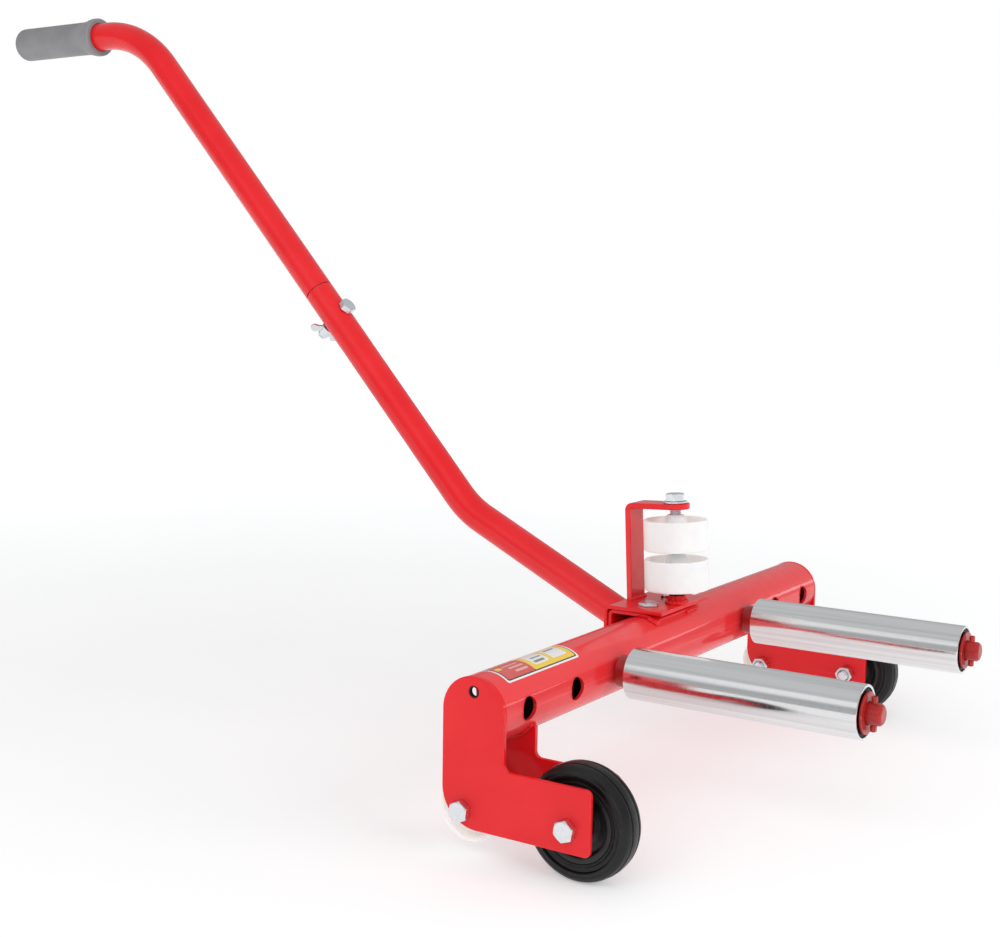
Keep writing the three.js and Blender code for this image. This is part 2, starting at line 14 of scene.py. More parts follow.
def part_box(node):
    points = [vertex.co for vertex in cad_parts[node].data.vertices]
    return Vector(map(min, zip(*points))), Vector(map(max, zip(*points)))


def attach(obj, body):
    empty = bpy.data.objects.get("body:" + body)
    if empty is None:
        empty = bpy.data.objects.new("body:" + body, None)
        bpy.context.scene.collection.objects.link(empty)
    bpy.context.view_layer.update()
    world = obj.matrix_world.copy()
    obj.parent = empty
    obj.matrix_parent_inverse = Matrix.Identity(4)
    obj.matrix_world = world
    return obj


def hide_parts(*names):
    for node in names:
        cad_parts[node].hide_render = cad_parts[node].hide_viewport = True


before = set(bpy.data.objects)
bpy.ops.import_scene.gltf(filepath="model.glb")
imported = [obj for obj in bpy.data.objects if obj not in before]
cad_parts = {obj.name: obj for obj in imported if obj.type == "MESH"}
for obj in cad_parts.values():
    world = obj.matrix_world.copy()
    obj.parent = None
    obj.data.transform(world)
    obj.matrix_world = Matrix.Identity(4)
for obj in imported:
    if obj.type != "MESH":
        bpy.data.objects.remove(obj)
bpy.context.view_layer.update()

BEAM_LOW, BEAM_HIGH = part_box("crossbeam_tube")
TO_ROW = Matrix.Translation((BEAM_LOW + BEAM_HIGH) / 2) @ Matrix.Scale(0.001, 4)
SIDES = (("left", -1), ("right", 1))
TAU = 2 * math.pi

# ---- dimensions, mm

# What is left between pieces that are only clamped together.
GAP = 0.3

BEAM_RADIUS = 31.75
BEAM_WALL = 3
STATIONS = (145, 227.5, 310)
AXLE_HOLE = 11.2

FORK_OUTER = 351
FORK_INNER = 295.5
FORK_PLATE = 4.5
FORK_REAR = 32.4
FORK_NECK = -31.8
FORK_FRONT = -118
FORK_ARM_TOP = -46.5
FORK_BOTTOM = -104.8
FORK_HEEL = 36
FORK_CORNER = 6
FORK_HORN = -18
FORK_MIDDLE = (FORK_OUTER + FORK_INNER) / 2
BEAM_END = FORK_OUTER - FORK_PLATE - 0.1
VENT_Z = 18.6
VENT_RADIUS = 5.2
WHEEL_AT = (-95.5, -84)
REAR_ROLLER_AT = (11, -89)

M12_HOLE = 6.4
NUT_HEIGHT = 10.4
SLEEVE_RADIUS = 8
SLEEVE_SPAN = (FORK_INNER + FORK_PLATE + GAP, FORK_OUTER - FORK_PLATE - GAP)
BORE = 8.4

ROLLER_RADIUS = 25
ROLLER_WALL = 2.6
ROLLER_FRONT = -275.5
ROLLER_BACK = -46.6
AXLE_RADIUS = 10.5
AXLE_TAIL = 38
AXLE_CHAMFER = 2.2
AXLE_TIP = -291.8
AXLE_NECK = ROLLER_FRONT + 0.1
AXLE_NECK_RADIUS = 10
WASHER_RADIUS = 19.2
WASHER_SPAN = (ROLLER_FRONT - 2.65, ROLLER_FRONT - 0.05)
COLLAR_RADIUS = 15.5
COLLAR_SPAN = (ROLLER_BACK + 1, -BEAM_RADIUS - GAP)
BUSH_LENGTH = 14
PIN_Y = -282.8
PIN_LENGTH = 31.6

BRACKET_RADIUS = BEAM_RADIUS + GAP
BRACKET_SHEET = 4
SADDLE_WRAP = 32
BASE_UNDER = BRACKET_RADIUS + BRACKET_SHEET + GAP
BASE_TOP = BASE_UNDER + BRACKET_SHEET
BASE_FRONT = -27
BASE_SKIRT = -12
SADDLE_SKIRT = -14
COACH_BOLT = (28.5, 1.5)
COACH_HOLE = 5.4
COACH_NUT_Z = -40.45

GUIDE_LEAN = 3
GUIDE_AXIS = -17.4
GUIDE_BACK = 34.2
GUIDE_ARM_UNDER = 98.2
GUIDE_SHEET = 6
GUIDE_UNDERSIDES = {"lower": 12.8, "upper": 54.3}
GUIDE_WASHER = GUIDE_ARM_UNDER + GUIDE_SHEET + GAP
GUIDE_WASHER_SPAN = (GUIDE_WASHER, GUIDE_WASHER + 2)

HANDLE_RADIUS = 17.2
HANDLE_WALL = 1.6
HANDLE_ROOT = (BASE_TOP + GAP, 15)
LOWER_SLOPE = math.radians(25.8)
UPPER_SLOPE = math.radians(47.6)
LOWER_BEND_Y = 247
GRIP_Z = 680
HANDLE_END = 971
HANDLE_SEAM = 328
HANDLE_BOLT = 286
GRIP_MOUTH = 837
GRIP_END = 984

# ---- frames

ALONG_X = Matrix.Rotation(math.pi / 2, 4, "Y")
ALONG_Y = Matrix.Rotation(-math.pi / 2, 4, "X")
# Takes an outline drawn in (Y, Z) and raised along its own third axis to run along +X.
SECTION_ALONG_X = Matrix(((0, 0, 1, 0), (1, 0, 0, 0), (0, 1, 0, 0), (0, 0, 0, 1)))
GUIDE_FRAME = Matrix.Translation((0, 0, BASE_TOP)) @ Matrix.Rotation(-math.radians(GUIDE_LEAN), 4, "X")
GUIDE_AXIS_FRAME = GUIDE_FRAME @ Matrix.Translation((0, GUIDE_AXIS, 0))



def heading(slope):
    return Vector((math.cos(slope), math.sin(slope)))


LOWER_RISE = (LOWER_BEND_Y - HANDLE_ROOT[0]) * math.tan(LOWER_SLOPE)
LOWER_CORNER = Vector((LOWER_BEND_Y, HANDLE_ROOT[1] + LOWER_RISE))
UPPER_WAY = heading(UPPER_SLOPE)
UPPER_RUN = (GRIP_Z - LOWER_CORNER.y) / math.sin(UPPER_SLOPE)


def along_upper(distance):
    return LOWER_CORNER + UPPER_WAY * distance


def at(x, y, z):
    return Matrix.Translation((x, y, z))


def turned(degrees):
    return Matrix.Rotation(math.radians(degrees), 4, "Z")


# The handle bolt's frame: its own +Z runs square to the upper run, out of the tube's front.
HANDLE_BOLT_FRAME = at(0, *along_upper(HANDLE_BOLT)) @ Matrix.Rotation(UPPER_SLOPE, 4, "X")

# ---- shapes


class Shape:
    """Points in millimetres and the faces between them."""

    def __init__(self):
        self.points = []
        self.faces = []

    def add(self, other):
        first = len(self.points)
        self.points += other.points
        self.faces += [tuple(i + first for i in face) for face in other.faces]
        return self

    def moved(self, matrix):
        self.points = [matrix @ point for point in self.points]
        return self

    def band(self, lower, upper):
        """Faces between two closed rows of point indices; a row of one point is a pole."""
        count = max(len(lower), len(upper))
        for i in range(count):
            j = (i + 1) % count
            corners = ((lower, i), (lower, j), (upper, j), (upper, i))
            face = tuple(dict.fromkeys(row[k % len(row)] for row, k in corners))
            if len(face) > 2:
                self.faces.append(face)

    def skin(self, rows):
        """Bands from each row to the next."""
        for lower, upper in zip(rows, rows[1:]):
            self.band(lower, upper)
        return self

    def row(self, points):
        first = len(self.points)
        self.points += [Vector(point) for point in points]
        return list(range(first, len(self.points)))


def arc(centre, radius, start, end, steps):
    """Points of an arc, from one angle to another in degrees."""
    angles = [math.radians(start + (end - start) * i / steps) for i in range(steps + 1)]
    return [Vector((centre[0] + radius * math.cos(a), centre[1] + radius * math.sin(a))) for a in angles]


def rounded(corners):
    """A closed outline of (a, b, radius) corners, each rounded to its radius."""
    outline = []
    for i, (a, b, radius) in enumerate(corners):
        here = Vector((a, b))
        if not radius:
            outline.append(here)
            continue
        before = Vector(corners[i - 1][:2]) - here
        after = Vector(corners[(i + 1) % len(corners)][:2]) - here
        half = before.angle(after) / 2
        if half > math.pi / 2 - 0.01:
            outline.append(here)
            continue
        reach = min(radius / math.tan(half), before.length * 0.48, after.length * 0.48)
        real = reach * math.tan(half)
        middle = before.normalized() + after.normalized()
        centre = here + middle.normalized() * (real / math.sin(half))
        start = here + before.normalized() * reach - centre
        end = here + after.normalized() * reach - centre
        turn = math.pi - 2 * half
        steps = max(2, math.ceil(turn / math.radians(14)))
        for k in range(steps + 1):
            t = k / steps
            first = math.sin((1 - t) * turn) / math.sin(turn)
            last = math.sin(t * turn) / math.sin(turn)
            outline.append(centre + start * first + end * last)
    return outline


def revolve(rows, segments):
    """A closed shape round Z from functions that give (radius, height) at an angle."""
    shape = Shape()
    angles = [TAU * i / segments for i in range(segments)]
    rings = []
    for row in rows:
        radius, height = row(0)
        if radius < 1e-6:
            rings.append(shape.row([(0, 0, height)]))
            continue
        places = [(a, *row(a)) for a in angles]
        rings.append(shape.row([(r * math.cos(a), r * math.sin(a), h) for a, r, h in places]))
    return shape.skin(rings + rings[:1])


def even(radius, height):
    """A row for revolve() that is the same all the way round."""
    return lambda angle: (max(radius, 0), height)


def lathe(outline, segments=128):
    """A closed outline of (radius, height) turned about Z."""
    return revolve([even(*point) for point in outline], segments)


def ring(outer, inner, low, high, soft, segments=128):
    corners = [(inner, low, soft), (outer, low, soft), (outer, high, soft), (inner, high, soft)]
    return lathe(rounded(corners), segments)


def inset(outline, distance):
    """The outline moved to the left of its direction of travel."""
    moved = []
    for i, here in enumerate(outline):
        back = (here - outline[i - 1]).normalized()
        ahead = (outline[(i + 1) % len(outline)] - here).normalized()
        left = Vector((-back.y, back.x))
        other = Vector((-ahead.y, ahead.x))
        moved.append(here + (left + other) * (distance / (1 + left.dot(other))))
    return moved


def without_repeats(outline):
    return [p for i, p in enumerate(outline) if (p - outline[i - 1]).length > 1e-4]


def plate(outline, holes, thickness, soft=0.8, steps=4):
    """A sheet up from z = 0 with soft edges; its outline runs anticlockwise and its holes clockwise."""
    shape = Shape()
    loops = [without_repeats(loop) for loop in (outline, *holes)]
    edge = [math.pi / 2 * i / steps for i in range(steps + 1)]
    levels = [(soft * (1 - math.sin(t)), soft * (1 - math.cos(t))) for t in edge]
    levels += [(inward, thickness - height) for inward, height in reversed(levels)]
    caps = ([], [])
    for loop in loops:
        rows = [shape.row([(p.x, p.y, height) for p in inset(loop, inward)]) for inward, height in levels]
        shape.skin(rows)
        caps[0].append(rows[0])
        caps[1].append(rows[-1])
    for cap in caps:
        indices = [i for row in cap for i in row]
        triangles = tessellate_polygon([[shape.points[i] for i in row] for row in cap])
        shape.faces += [tuple(indices[i] for i in triangle) for triangle in triangles]
    return shape


def circle(centre, radius, steps=64):
    """A round hole for plate(), which runs clockwise."""
    return arc(centre, radius, 360, 0, steps)[:-1]


def tube(path, outer, inner, segments=96):
    """A hollow tube along a path in the plane x = 0; path is a list of (point, direction)."""
    shape = Shape()
    angles = [TAU * i / segments for i in range(segments)]

    def section(point, way, radius):
        side = Vector((0, -way.y, way.x))
        middle = Vector((0, point.x, point.y))
        return [middle + Vector((radius * math.cos(a), 0, 0)) + side * radius * math.sin(a) for a in angles]

    soft = 0.5
    (first, first_way), (last, last_way) = path[0], path[-1]
    ease = [(0, soft), (soft * 0.3, soft * 0.3), (soft, 0)]
    start = [(first + first_way * run, first_way, outer - drop) for run, drop in ease]
    middle = [(point, way, outer) for point, way in path[1:-1]]
    end = [(last - last_way * run, last_way, outer - drop) for run, drop in reversed(ease)]
    back = [(point, way, inner) for point, way in reversed(path)]
    rows = [shape.row(section(*place)) for place in [back[-1], *start, *middle, *end, *back[:-1]]]
    return shape.skin(rows + rows[:1])


def bend(corner, start, end, radius, steps):
    """(point, direction) pairs round a bend at a corner, from one slope to another."""
    half = (end - start) / 2
    side = math.copysign(1, half)
    run = radius * math.tan(abs(half))
    normal = Vector((-math.sin(start), math.cos(start)))
    centre = corner - heading(start) * run + normal * side * radius
    pairs = []
    for i in range(steps + 1):
        way = heading(start + 2 * half * i / steps)
        pairs.append((centre + Vector((way.y, -way.x)) * side * radius, way))
    return pairs


def hexagon(across, height, bore=0.0, under=False):
    """A forged hexagon along +Z with its corners on X, chamfered on top and, for a nut, underneath."""
    flat = across / 2
    crown = flat * 0.97
    corner = across / math.sqrt(3) * 0.985
    slope = math.tan(math.radians(28))

    def side(angle):
        return min(flat / math.cos(angle % (math.pi / 3) - math.pi / 6), corner)

    def drop(angle):
        return (side(angle) - crown) * slope

    def facets(inward, height, chamfer):
        return lambda angle: (side(angle) - inward, height + chamfer * drop(angle))

    top = [facets(0, height - 0.15, -1), facets(0.15, height, -1)]
    top += [even(crown, height - 0.05), even(crown - 0.4, height)]
    foot = [facets(0.1, 0, 0), facets(0, 0.1, 0)]
    if under:
        foot = [even(crown - 0.4, 0), even(crown, 0.05), facets(0.15, 0, 1), facets(0, 0.15, 1)]
    sunk = height - 0.25
    middle = [even(crown * 0.8, height), even(crown * 0.74, sunk), even(0, sunk), even(0, 0)]
    if bore:
        middle = [even(bore + 1, height), even(bore, height - 0.9), even(bore, 0.9), even(bore + 1, 0)]
    return revolve(foot + top + middle, 144)


def thread(radius, low, high, pitch, segments=36):
    """A threaded rod along Z with a chamfered end at low."""
    depth = pitch * 0.55
    rows = math.ceil((high - low) / pitch * 6)
    shape = Shape()
    rings = [shape.row([(0, 0, low)])]
    for k in range(rows + 1):
        height = low + (high - low) * k / rows
        points = []
        for i in range(segments):
            phase = (height / pitch - i / segments) % 1
            groove = depth * (1 - abs(2 * phase - 1))
            end = max(0, 1.5 - (height - low))
            reach = min(radius - groove, radius - end)
            angle = TAU * i / segments
            points.append((reach * math.cos(angle), reach * math.sin(angle), height))
        rings.append(shape.row(points))
    rings.append(shape.row([(0, 0, high)]))
    return shape.skin(rings)


def bolt(across, head, radius, length, threaded, pitch=1.75):
    """A hex bolt with the underside of its head at z = 0 and the last part of its shank threaded."""
    shank = [(0, 0.2), (radius, 0.2), (radius, threaded - length), (0, threaded - length)]
    shape = hexagon(across, head)
    shape.add(lathe(shank, 64))
    return shape.add(thread(radius, -length, threaded - length + 0.5, pitch))


def spaced(path, step, closed):
    """A path's points again, at equal steps."""
    ends = path + path[:1] if closed else path
    lengths = [(b - a).length for a, b in zip(ends, ends[1:])]
    total = sum(lengths)
    count = max(4, round(total / step))
    points, i, passed = [], 0, 0
    for k in range(count if closed else count + 1):
        goal = total * k / count
        while i < len(lengths) - 1 and passed + lengths[i] < goal:
            passed += lengths[i]
            i += 1
        points.append(ends[i].lerp(ends[i + 1], (goal - passed) / lengths[i]))
    return points


def sweep(points, closed, sides, reference, reach):
    """A cord along points whose radius is reach(step, angle), with its angles measured from a direction."""
    last = len(points) - 1
    angles = [TAU * i / sides for i in range(sides)]
    shape = Shape()
    rings = []
    for k, point in enumerate(points):
        back = points[k - 1] if closed or k else point
        ahead = points[(k + 1) % len(points)] if closed or k < last else point
        way = (ahead - back).normalized()
        side = (reference - way * reference.dot(way)).normalized()
        up = way.cross(side)
        spokes = [(side * math.cos(a) + up * math.sin(a)) * reach(k, a) for a in angles]
        rings.append(shape.row([point + spoke for spoke in spokes]))
    if closed:
        return shape.skin(rings + rings[:1])
    return shape.skin([shape.row([points[0]]), *rings, shape.row([points[-1]])])


def bead(path, size, seed, closed=False, pitch=2.4):
    """A weld bead along a path: ripples that overlap like scales, a little uneven."""
    step = 0.45
    points = spaced([Vector(p) for p in path], step, closed)
    last = len(points) - 1

    def reach(k, angle):
        ripple = abs(math.sin(math.pi * k * step / pitch))
        taper = 1 if closed else min(1, 0.35 + min(k, last - k) * 0.3)
        rough = noise.noise(Vector((k * 0.19, math.cos(angle) * 0.8, math.sin(angle) * 0.8 + seed)))
        return size * (0.8 + 0.2 * ripple) * taper * (1 + 0.22 * rough)

    return sweep(points, closed, 14, Vector((0.31, 0.17, 0.93)).normalized(), reach)


# ---- meshes


def mesh_of(name, shape, matrix=Matrix()):
    mesh = bpy.data.meshes.new(name)
    mesh.from_pydata([TO_ROW @ matrix @ point for point in shape.points], [], shape.faces)
    tidy = bmesh.new()
    tidy.from_mesh(mesh)
    bmesh.ops.remove_doubles(tidy, verts=tidy.verts, dist=2e-6)
    bmesh.ops.recalc_face_normals(tidy, faces=tidy.faces)
    tidy.to_mesh(mesh)
    tidy.free()
    return mesh


def linked(name, data):
    made = bpy.data.objects.new(name, data)
    bpy.context.scene.collection.objects.link(made)
    return made


def place(name, mesh, look, nodes=(), body="frame"):
    """A piece that takes the material of a (slot, material) look, stands in for CAD nodes and rides on a
    body.
    """
    slot, material = look
    piece = linked(name, mesh)
    mesh.materials.clear()
    mesh.materials.append(material)
    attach(piece, body)
    if nodes:
        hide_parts(*nodes)
    return piece


def finished(name, mesh, look, nodes=(), body="frame", sharp=32):
    """Places a mesh with its faces smooth and its edges sharp."""
    mesh.shade_smooth()
    mesh.set_sharp_from_angle(angle=math.radians(sharp))
    piece = place(name, mesh, look, nodes, body)
    piece.modifiers.new("even_shading", "WEIGHTED_NORMAL").keep_sharp = True


def build(name, shape, look, nodes=(), matrix=Matrix(), body="frame", sharp=32):
    """A finished piece from a shape in beam millimetres, after matrix."""
    finished(name, mesh_of(name, shape, matrix), look, nodes, body, sharp)


def build_side(side, name, shape, look, node=None, matrix=Matrix(), body="frame"):
    """build() for one of a left and right pair; node is the CAD node's name without its side."""
    nodes = [f"{node}_{side}"] if node else ()
    build(f"{name}_{side}", shape, look, nodes, matrix, body)


def evaluated(mesh, *modifiers):
    """A mesh after (type, settings) modifiers, as a new mesh."""
    holder = linked("holder", mesh)
    for kind, settings in modifiers:
        modifier = holder.modifiers.new(kind, kind)
        for key, value in settings.items():
            setattr(modifier, key, value)
    graph = bpy.context.evaluated_depsgraph_get()
    result = bpy.data.meshes.new_from_object(holder.evaluated_get(graph))
    result.name = mesh.name + "_made"
    bpy.data.objects.remove(holder)
    return result


def drilled(mesh, cutter):
    """The mesh with a closed cutting shape taken out of it."""
    tool = linked("cutter", mesh_of("cutter", cutter))
    settings = {"operation": "DIFFERENCE", "object": tool, "solver": "EXACT"}
    result = evaluated(mesh, ("BOOLEAN", settings))
    bpy.data.objects.remove(tool)
    return result


# ---- materials


class Nodes:
    """A node tree written as nested calls."""

    def __init__(self, tree):
        self.tree = tree

    def node(self, kind, inputs=None, **settings):
        made = self.tree.nodes.new("ShaderNode" + kind)
        for key, value in settings.items():
            setattr(made, key, value)
        for key, value in (inputs or {}).items():
            if isinstance(value, bpy.types.NodeSocket):
                self.tree.links.new(value, made.inputs[key])
            else:
                made.inputs[key].default_value = value
        return made

    def range(self, value, low, high, to_low, to_high):
        inputs = {"Value": value, "From Min": low, "From Max": high, "To Min": to_low, "To Max": to_high}
        return self.node("MapRange", inputs).outputs["Result"]


class Look(Nodes):
    """A principled material whose procedural parts are measured in metres on the piece."""

    def __init__(self, name, **values):
        self.material = bpy.data.materials.new(name)
        self.material.use_nodes = True
        super().__init__(self.material.node_tree)
        self.shader = self.tree.nodes["Principled BSDF"]
        for key, value in values.items():
            self.shader.inputs[key.replace("_", " ")].default_value = value
        self.place = self.node("TexCoord").outputs["Object"]

    def noise(self, scale, detail=3.0, stretch=None, distortion=0.0):
        where = self.place
        if stretch:
            where = self.node("Mapping", {"Vector": where, "Scale": stretch}).outputs["Vector"]
        inputs = {"Vector": where, "Scale": scale, "Detail": detail, "Distortion": distortion}
        return self.node("TexNoise", inputs).outputs["Fac"]

    def cells(self, scale):
        return self.node("TexVoronoi", {"Vector": self.place, "Scale": scale}).outputs["Color"]

    def ramp(self, value, *stops):
        """A value taken through (position, colour) stops."""
        made = self.node("ValToRGB", {"Fac": value})
        ramp = made.color_ramp
        ramp.elements[0].position, ramp.elements[0].color = stops[0][0], (*stops[0][1], 1)
        ramp.elements[1].position, ramp.elements[1].color = stops[-1][0], (*stops[-1][1], 1)
        for position, colour in stops[1:-1]:
            ramp.elements.new(position).color = (*colour, 1)
        return made.outputs["Color"]

    def mix(self, factor, first, second):
        made = self.node("Mix", data_type="RGBA")
        sockets = [s for s in made.inputs if s.type == "RGBA"]
        for socket, value in ((made.inputs[0], factor), (sockets[0], first), (sockets[1], second)):
            if isinstance(value, bpy.types.NodeSocket):
                self.tree.links.new(value, socket)
            else:
                socket.default_value = value if socket == made.inputs[0] else (*value, 1)
        return [s for s in made.outputs if s.type == "RGBA"][0]

    def bumps(self, *layers):
        """Layers of (height, strength, distance), one on another."""
        normal = None
        for height, strength, distance in layers:
            inputs = {"Height": height, "Strength": strength, "Distance": distance}
            if normal:
                inputs["Normal"] = normal
            normal = self.node("Bump", inputs).outputs["Normal"]
        self.feed("Normal", normal)

    def feed(self, name, socket):
        self.tree.links.new(socket, self.shader.inputs[name])

    def colour(self, socket):
        self.feed("Base Color", socket)

    def roughness(self, value, low, high, top=0.7):
        self.feed("Roughness", self.range(value, 0.3, top, low, high))

    def edges(self, low, high):
        """From 0 on flat faces to 1 on outer edges, where the materials mix in a lighter colour as painted
        highlight.
        """
        pointiness = self.node("NewGeometry").outputs["Pointiness"]
        return self.range(pointiness, low, high, 0, 1)


def red_enamel(name, coat):
    coated = {"Coat_Weight": coat, "Coat_Roughness": 0.03, "Coat_IOR": 1.46}
    look = Look(name, Roughness=0.4, Specular_IOR_Level=0.15, **coated)
    reds = (0.35, (0.77, 0.007, 0.012)), (0.5, (0.80, 0.009, 0.015)), (0.68, (0.83, 0.013, 0.019))
    clouds = look.ramp(look.noise(14, 4), *reds)
    # Outer edges get a lighter red: painted highlight.
    look.colour(look.mix(look.edges(0.52, 0.62), clouds, (0.86, 0.05, 0.055)))
    look.roughness(look.noise(70, 5), 0.34, 0.46)
    look.bumps((look.noise(26, 2), 0.05, 0.0006), (look.noise(520, 2), 0.03, 0.00012))
    return "red_paint", look.material


def axle_enamel_and_shade():
    """A darker red for the roller axles and what is fitted to them: partly their own deeper paint, partly
    painted shade for their shaded ends and collars.
    """
    coated = {"Coat_Weight": 0.3, "Coat_Roughness": 0.06, "Coat_IOR": 1.46}
    look = Look("axle_enamel_and_shade", Roughness=0.4, Specular_IOR_Level=0.3, **coated)
    clouds = look.ramp(look.noise(60, 5), (0.3, (0.30, 0.008, 0.008)), (0.7, (0.46, 0.018, 0.016)))
    # Outer edges get a pale orange-red: painted highlight.
    look.colour(look.mix(look.edges(0.53, 0.62), clouds, (0.80, 0.17, 0.13)))
    look.roughness(look.noise(160, 4), 0.28, 0.44)
    look.bumps((look.noise(90, 3), 0.1, 0.0004), (look.noise(600, 2), 0.05, 0.0001))
    return "red_paint", look.material


def chrome():
    look = Look("chrome", Metallic=1.0, Roughness=0.08)
    streaks = look.noise(1, 4, stretch=(260, 2.5, 260))
    tints = (0.32, (0.68, 0.685, 0.69)), (0.5, (0.77, 0.775, 0.78)), (0.7, (0.82, 0.825, 0.83))
    look.colour(look.ramp(streaks, *tints))
    turned_marks = look.noise(1, 6, stretch=(6, 420, 6))
    look.roughness(turned_marks, 0.12, 0.24, top=0.75)
    look.bumps((streaks, 0.12, 0.0002), (turned_marks, 0.08, 0.00012), (look.noise(40, 3), 0.05, 0.0004))
    return "chrome", look.material


def zinc():
    look = Look("zinc", Metallic=1.0, Roughness=0.3)
    spangle = look.mix(0.65, look.cells(420), (0.5, 0.5, 0.5))
    grey = look.ramp(spangle, (0.2, (0.70, 0.74, 0.77)), (0.8, (0.82, 0.85, 0.88)))
    # Outer edges get a near-white grey: painted highlight.
    look.colour(look.mix(look.edges(0.54, 0.66), grey, (0.95, 0.96, 0.97)))
    look.roughness(look.noise(300, 4), 0.24, 0.36)
    look.bumps((look.noise(900, 3), 0.06, 0.00006))
    return "zinc", look.material


def steel():
    look = Look("steel", Metallic=1.0, Roughness=0.38)
    drawn = look.noise(1, 5, stretch=(30, 900, 900))
    look.colour(look.ramp(drawn, (0.3, (0.30, 0.30, 0.31)), (0.7, (0.50, 0.50, 0.51))))
    look.roughness(drawn, 0.3, 0.5)
    look.bumps((drawn, 0.3, 0.0001))
    return "steel", look.material


def bare_steel_and_shade():
    """Near-black steel: the unpainted inside of the crossbeam, darker still as painted shade, and painted
    shade on the vent edges, under the guide's lower cup and on the weld pip.
    """
    look = Look("bare_steel_and_shade", Metallic=0.6, Roughness=0.7)
    look.colour(look.ramp(look.noise(90, 6), (0.3, (0.02, 0.017, 0.016)), (0.7, (0.05, 0.042, 0.04))))
    look.bumps((look.noise(300, 5), 0.3, 0.0002))
    return "steel", look.material


def nylon():
    milk = {"Subsurface_Weight": 1.0, "Subsurface_Scale": 0.016, "Subsurface_Radius": (1.0, 0.85, 0.7)}
    # Painted light: a faint white glow that brightens the nylon everywhere, also in the shade round the
    # cups' hubs.
    painted_glow = {"Emission_Strength": 0.1, "Emission_Color": (1, 0.97, 0.93, 1)}
    look = Look("nylon", Roughness=0.36, **milk, **painted_glow)
    look.colour(look.ramp(look.noise(45, 4), (0.3, (0.79, 0.785, 0.77)), (0.7, (0.84, 0.835, 0.825))))
    look.roughness(look.noise(260, 4), 0.3, 0.46)
    turned_marks = look.noise(1, 4, stretch=(60, 60, 900))
    look.bumps((turned_marks, 0.08, 0.0001), (look.noise(900, 3), 0.1, 0.00006))
    return "nylon", look.material


def tyre_rubber():
    look = Look("tyre_rubber", Roughness=0.4, Specular_IOR_Level=0.38)
    dust = look.ramp(look.noise(38, 6), (0.35, (0.003, 0.003, 0.0035)), (0.7, (0.007, 0.007, 0.008)))
    # Outer edges and ridges get a lighter black: painted highlight.
    look.colour(look.mix(look.edges(0.53, 0.62), dust, (0.022, 0.022, 0.024)))
    look.roughness(look.noise(180, 5), 0.3, 0.48)
    look.bumps((look.noise(160, 4), 0.12, 0.00025), (look.noise(1500, 3), 0.15, 0.00006))
    return "tyre_rubber", look.material


def black_plastic(name, gloss):
    look = Look(name, Roughness=0.42, Specular_IOR_Level=gloss)
    black = look.ramp(look.noise(60, 5), (0.3, (0.004, 0.004, 0.005)), (0.7, (0.010, 0.010, 0.011)))
    look.colour(black)
    look.roughness(look.noise(300, 4), 0.34, 0.55)
    look.bumps((look.noise(1100, 3), 0.35, 0.0001))
    return "black_plastic", look.material


def grip_rubber():
    look = Look("grip_rubber", Roughness=0.55)
    grey = look.ramp(look.noise(26, 5), (0.32, (0.225, 0.223, 0.232)), (0.7, (0.275, 0.272, 0.282)))
    # Outer edges get a lighter grey: painted highlight.
    look.colour(look.mix(look.edges(0.53, 0.62), grey, (0.36, 0.36, 0.375)))
    look.roughness(look.noise(240, 4), 0.48, 0.66)
    look.bumps((look.cells(1300), 0.12, 0.00012), (look.noise(90, 4), 0.15, 0.0004))
    return "grip_rubber", look.material


def film(name, colour):
    """The printed film of the blank label."""
    look = Look(name, Roughness=0.3, Coat_Weight=0.4, Coat_Roughness=0.1)
    paler = [c * 0.9 + 0.05 for c in colour]
    look.colour(look.ramp(look.noise(160, 5), (0.35, colour), (0.75, paler)))
    look.bumps((look.noise(700, 3), 0.08, 0.0001))
    return "red_paint", look.material


RED = red_enamel("red_enamel", 0.52)
THIN_RED = red_enamel("thin_red_enamel", 0)
AXLE_RED_AND_SHADE = axle_enamel_and_shade()
CHROME = chrome()
ZINC = zinc()
STEEL = steel()
BARE_AND_SHADE = bare_steel_and_shade()
NYLON = nylon()
TYRE = tyre_rubber()
PLASTIC = black_plastic("black_plastic", 0.5)
BUSH_PLASTIC = black_plastic("bush_plastic", 0.1)
GRIP = grip_rubber()

# ---- crossbeam


def through_hole(x, y, radius, axis):
    """A cutting cylinder through the beam."""
    rod = lathe([(0, -60), (radius, -60), (radius, 60), (0, 60)], 96)
    return rod.moved(at(x, y, 0) @ axis)


def beam_normals(mesh):
    """Exact normals, so that long highlights run straight past the drilled holes."""
    axis = TO_ROW.translation
    holes = [sign * x / 1000 for x in STATIONS for sign in (-1, 1)]
    normals = []
    for face in mesh.polygons:
        middle = face.center - axis
        across = Vector((0, middle.y, middle.z)).normalized()
        tilt = face.normal.dot(across)
        nearest = min(holes, key=lambda x: abs(x - middle.x))
        for i in face.loop_indices:
            point = mesh.vertices[mesh.loops[i].vertex_index].co - axis
            radial = Vector((0, point.y, point.z)).normalized()
            if abs(face.normal.x) < 0.01 and abs(tilt) > 0.95:
                normals.append(radial * math.copysign(1, tilt))
            elif abs(face.normal.y) < 0.05 and abs(middle.x - nearest) < (AXLE_HOLE + 0.8) / 1000:
                normals.append(Vector((nearest - point.x, 0, -point.z)).normalized())
            else:
                normals.append(face.normal.copy())
    mesh.normals_split_custom_set(normals)


def hole_lip(x, side):
    """The paint's soft round edge at an axle hole."""
    around = arc((x, 0), AXLE_HOLE, 0, 357, 119)
    points = [Vector((p.x, side * math.sqrt(BEAM_RADIUS**2 - p.y**2), p.y)) for p in around]
    return sweep(points, True, 12, Vector((0, 1, 0)), lambda k, angle: 0.55)


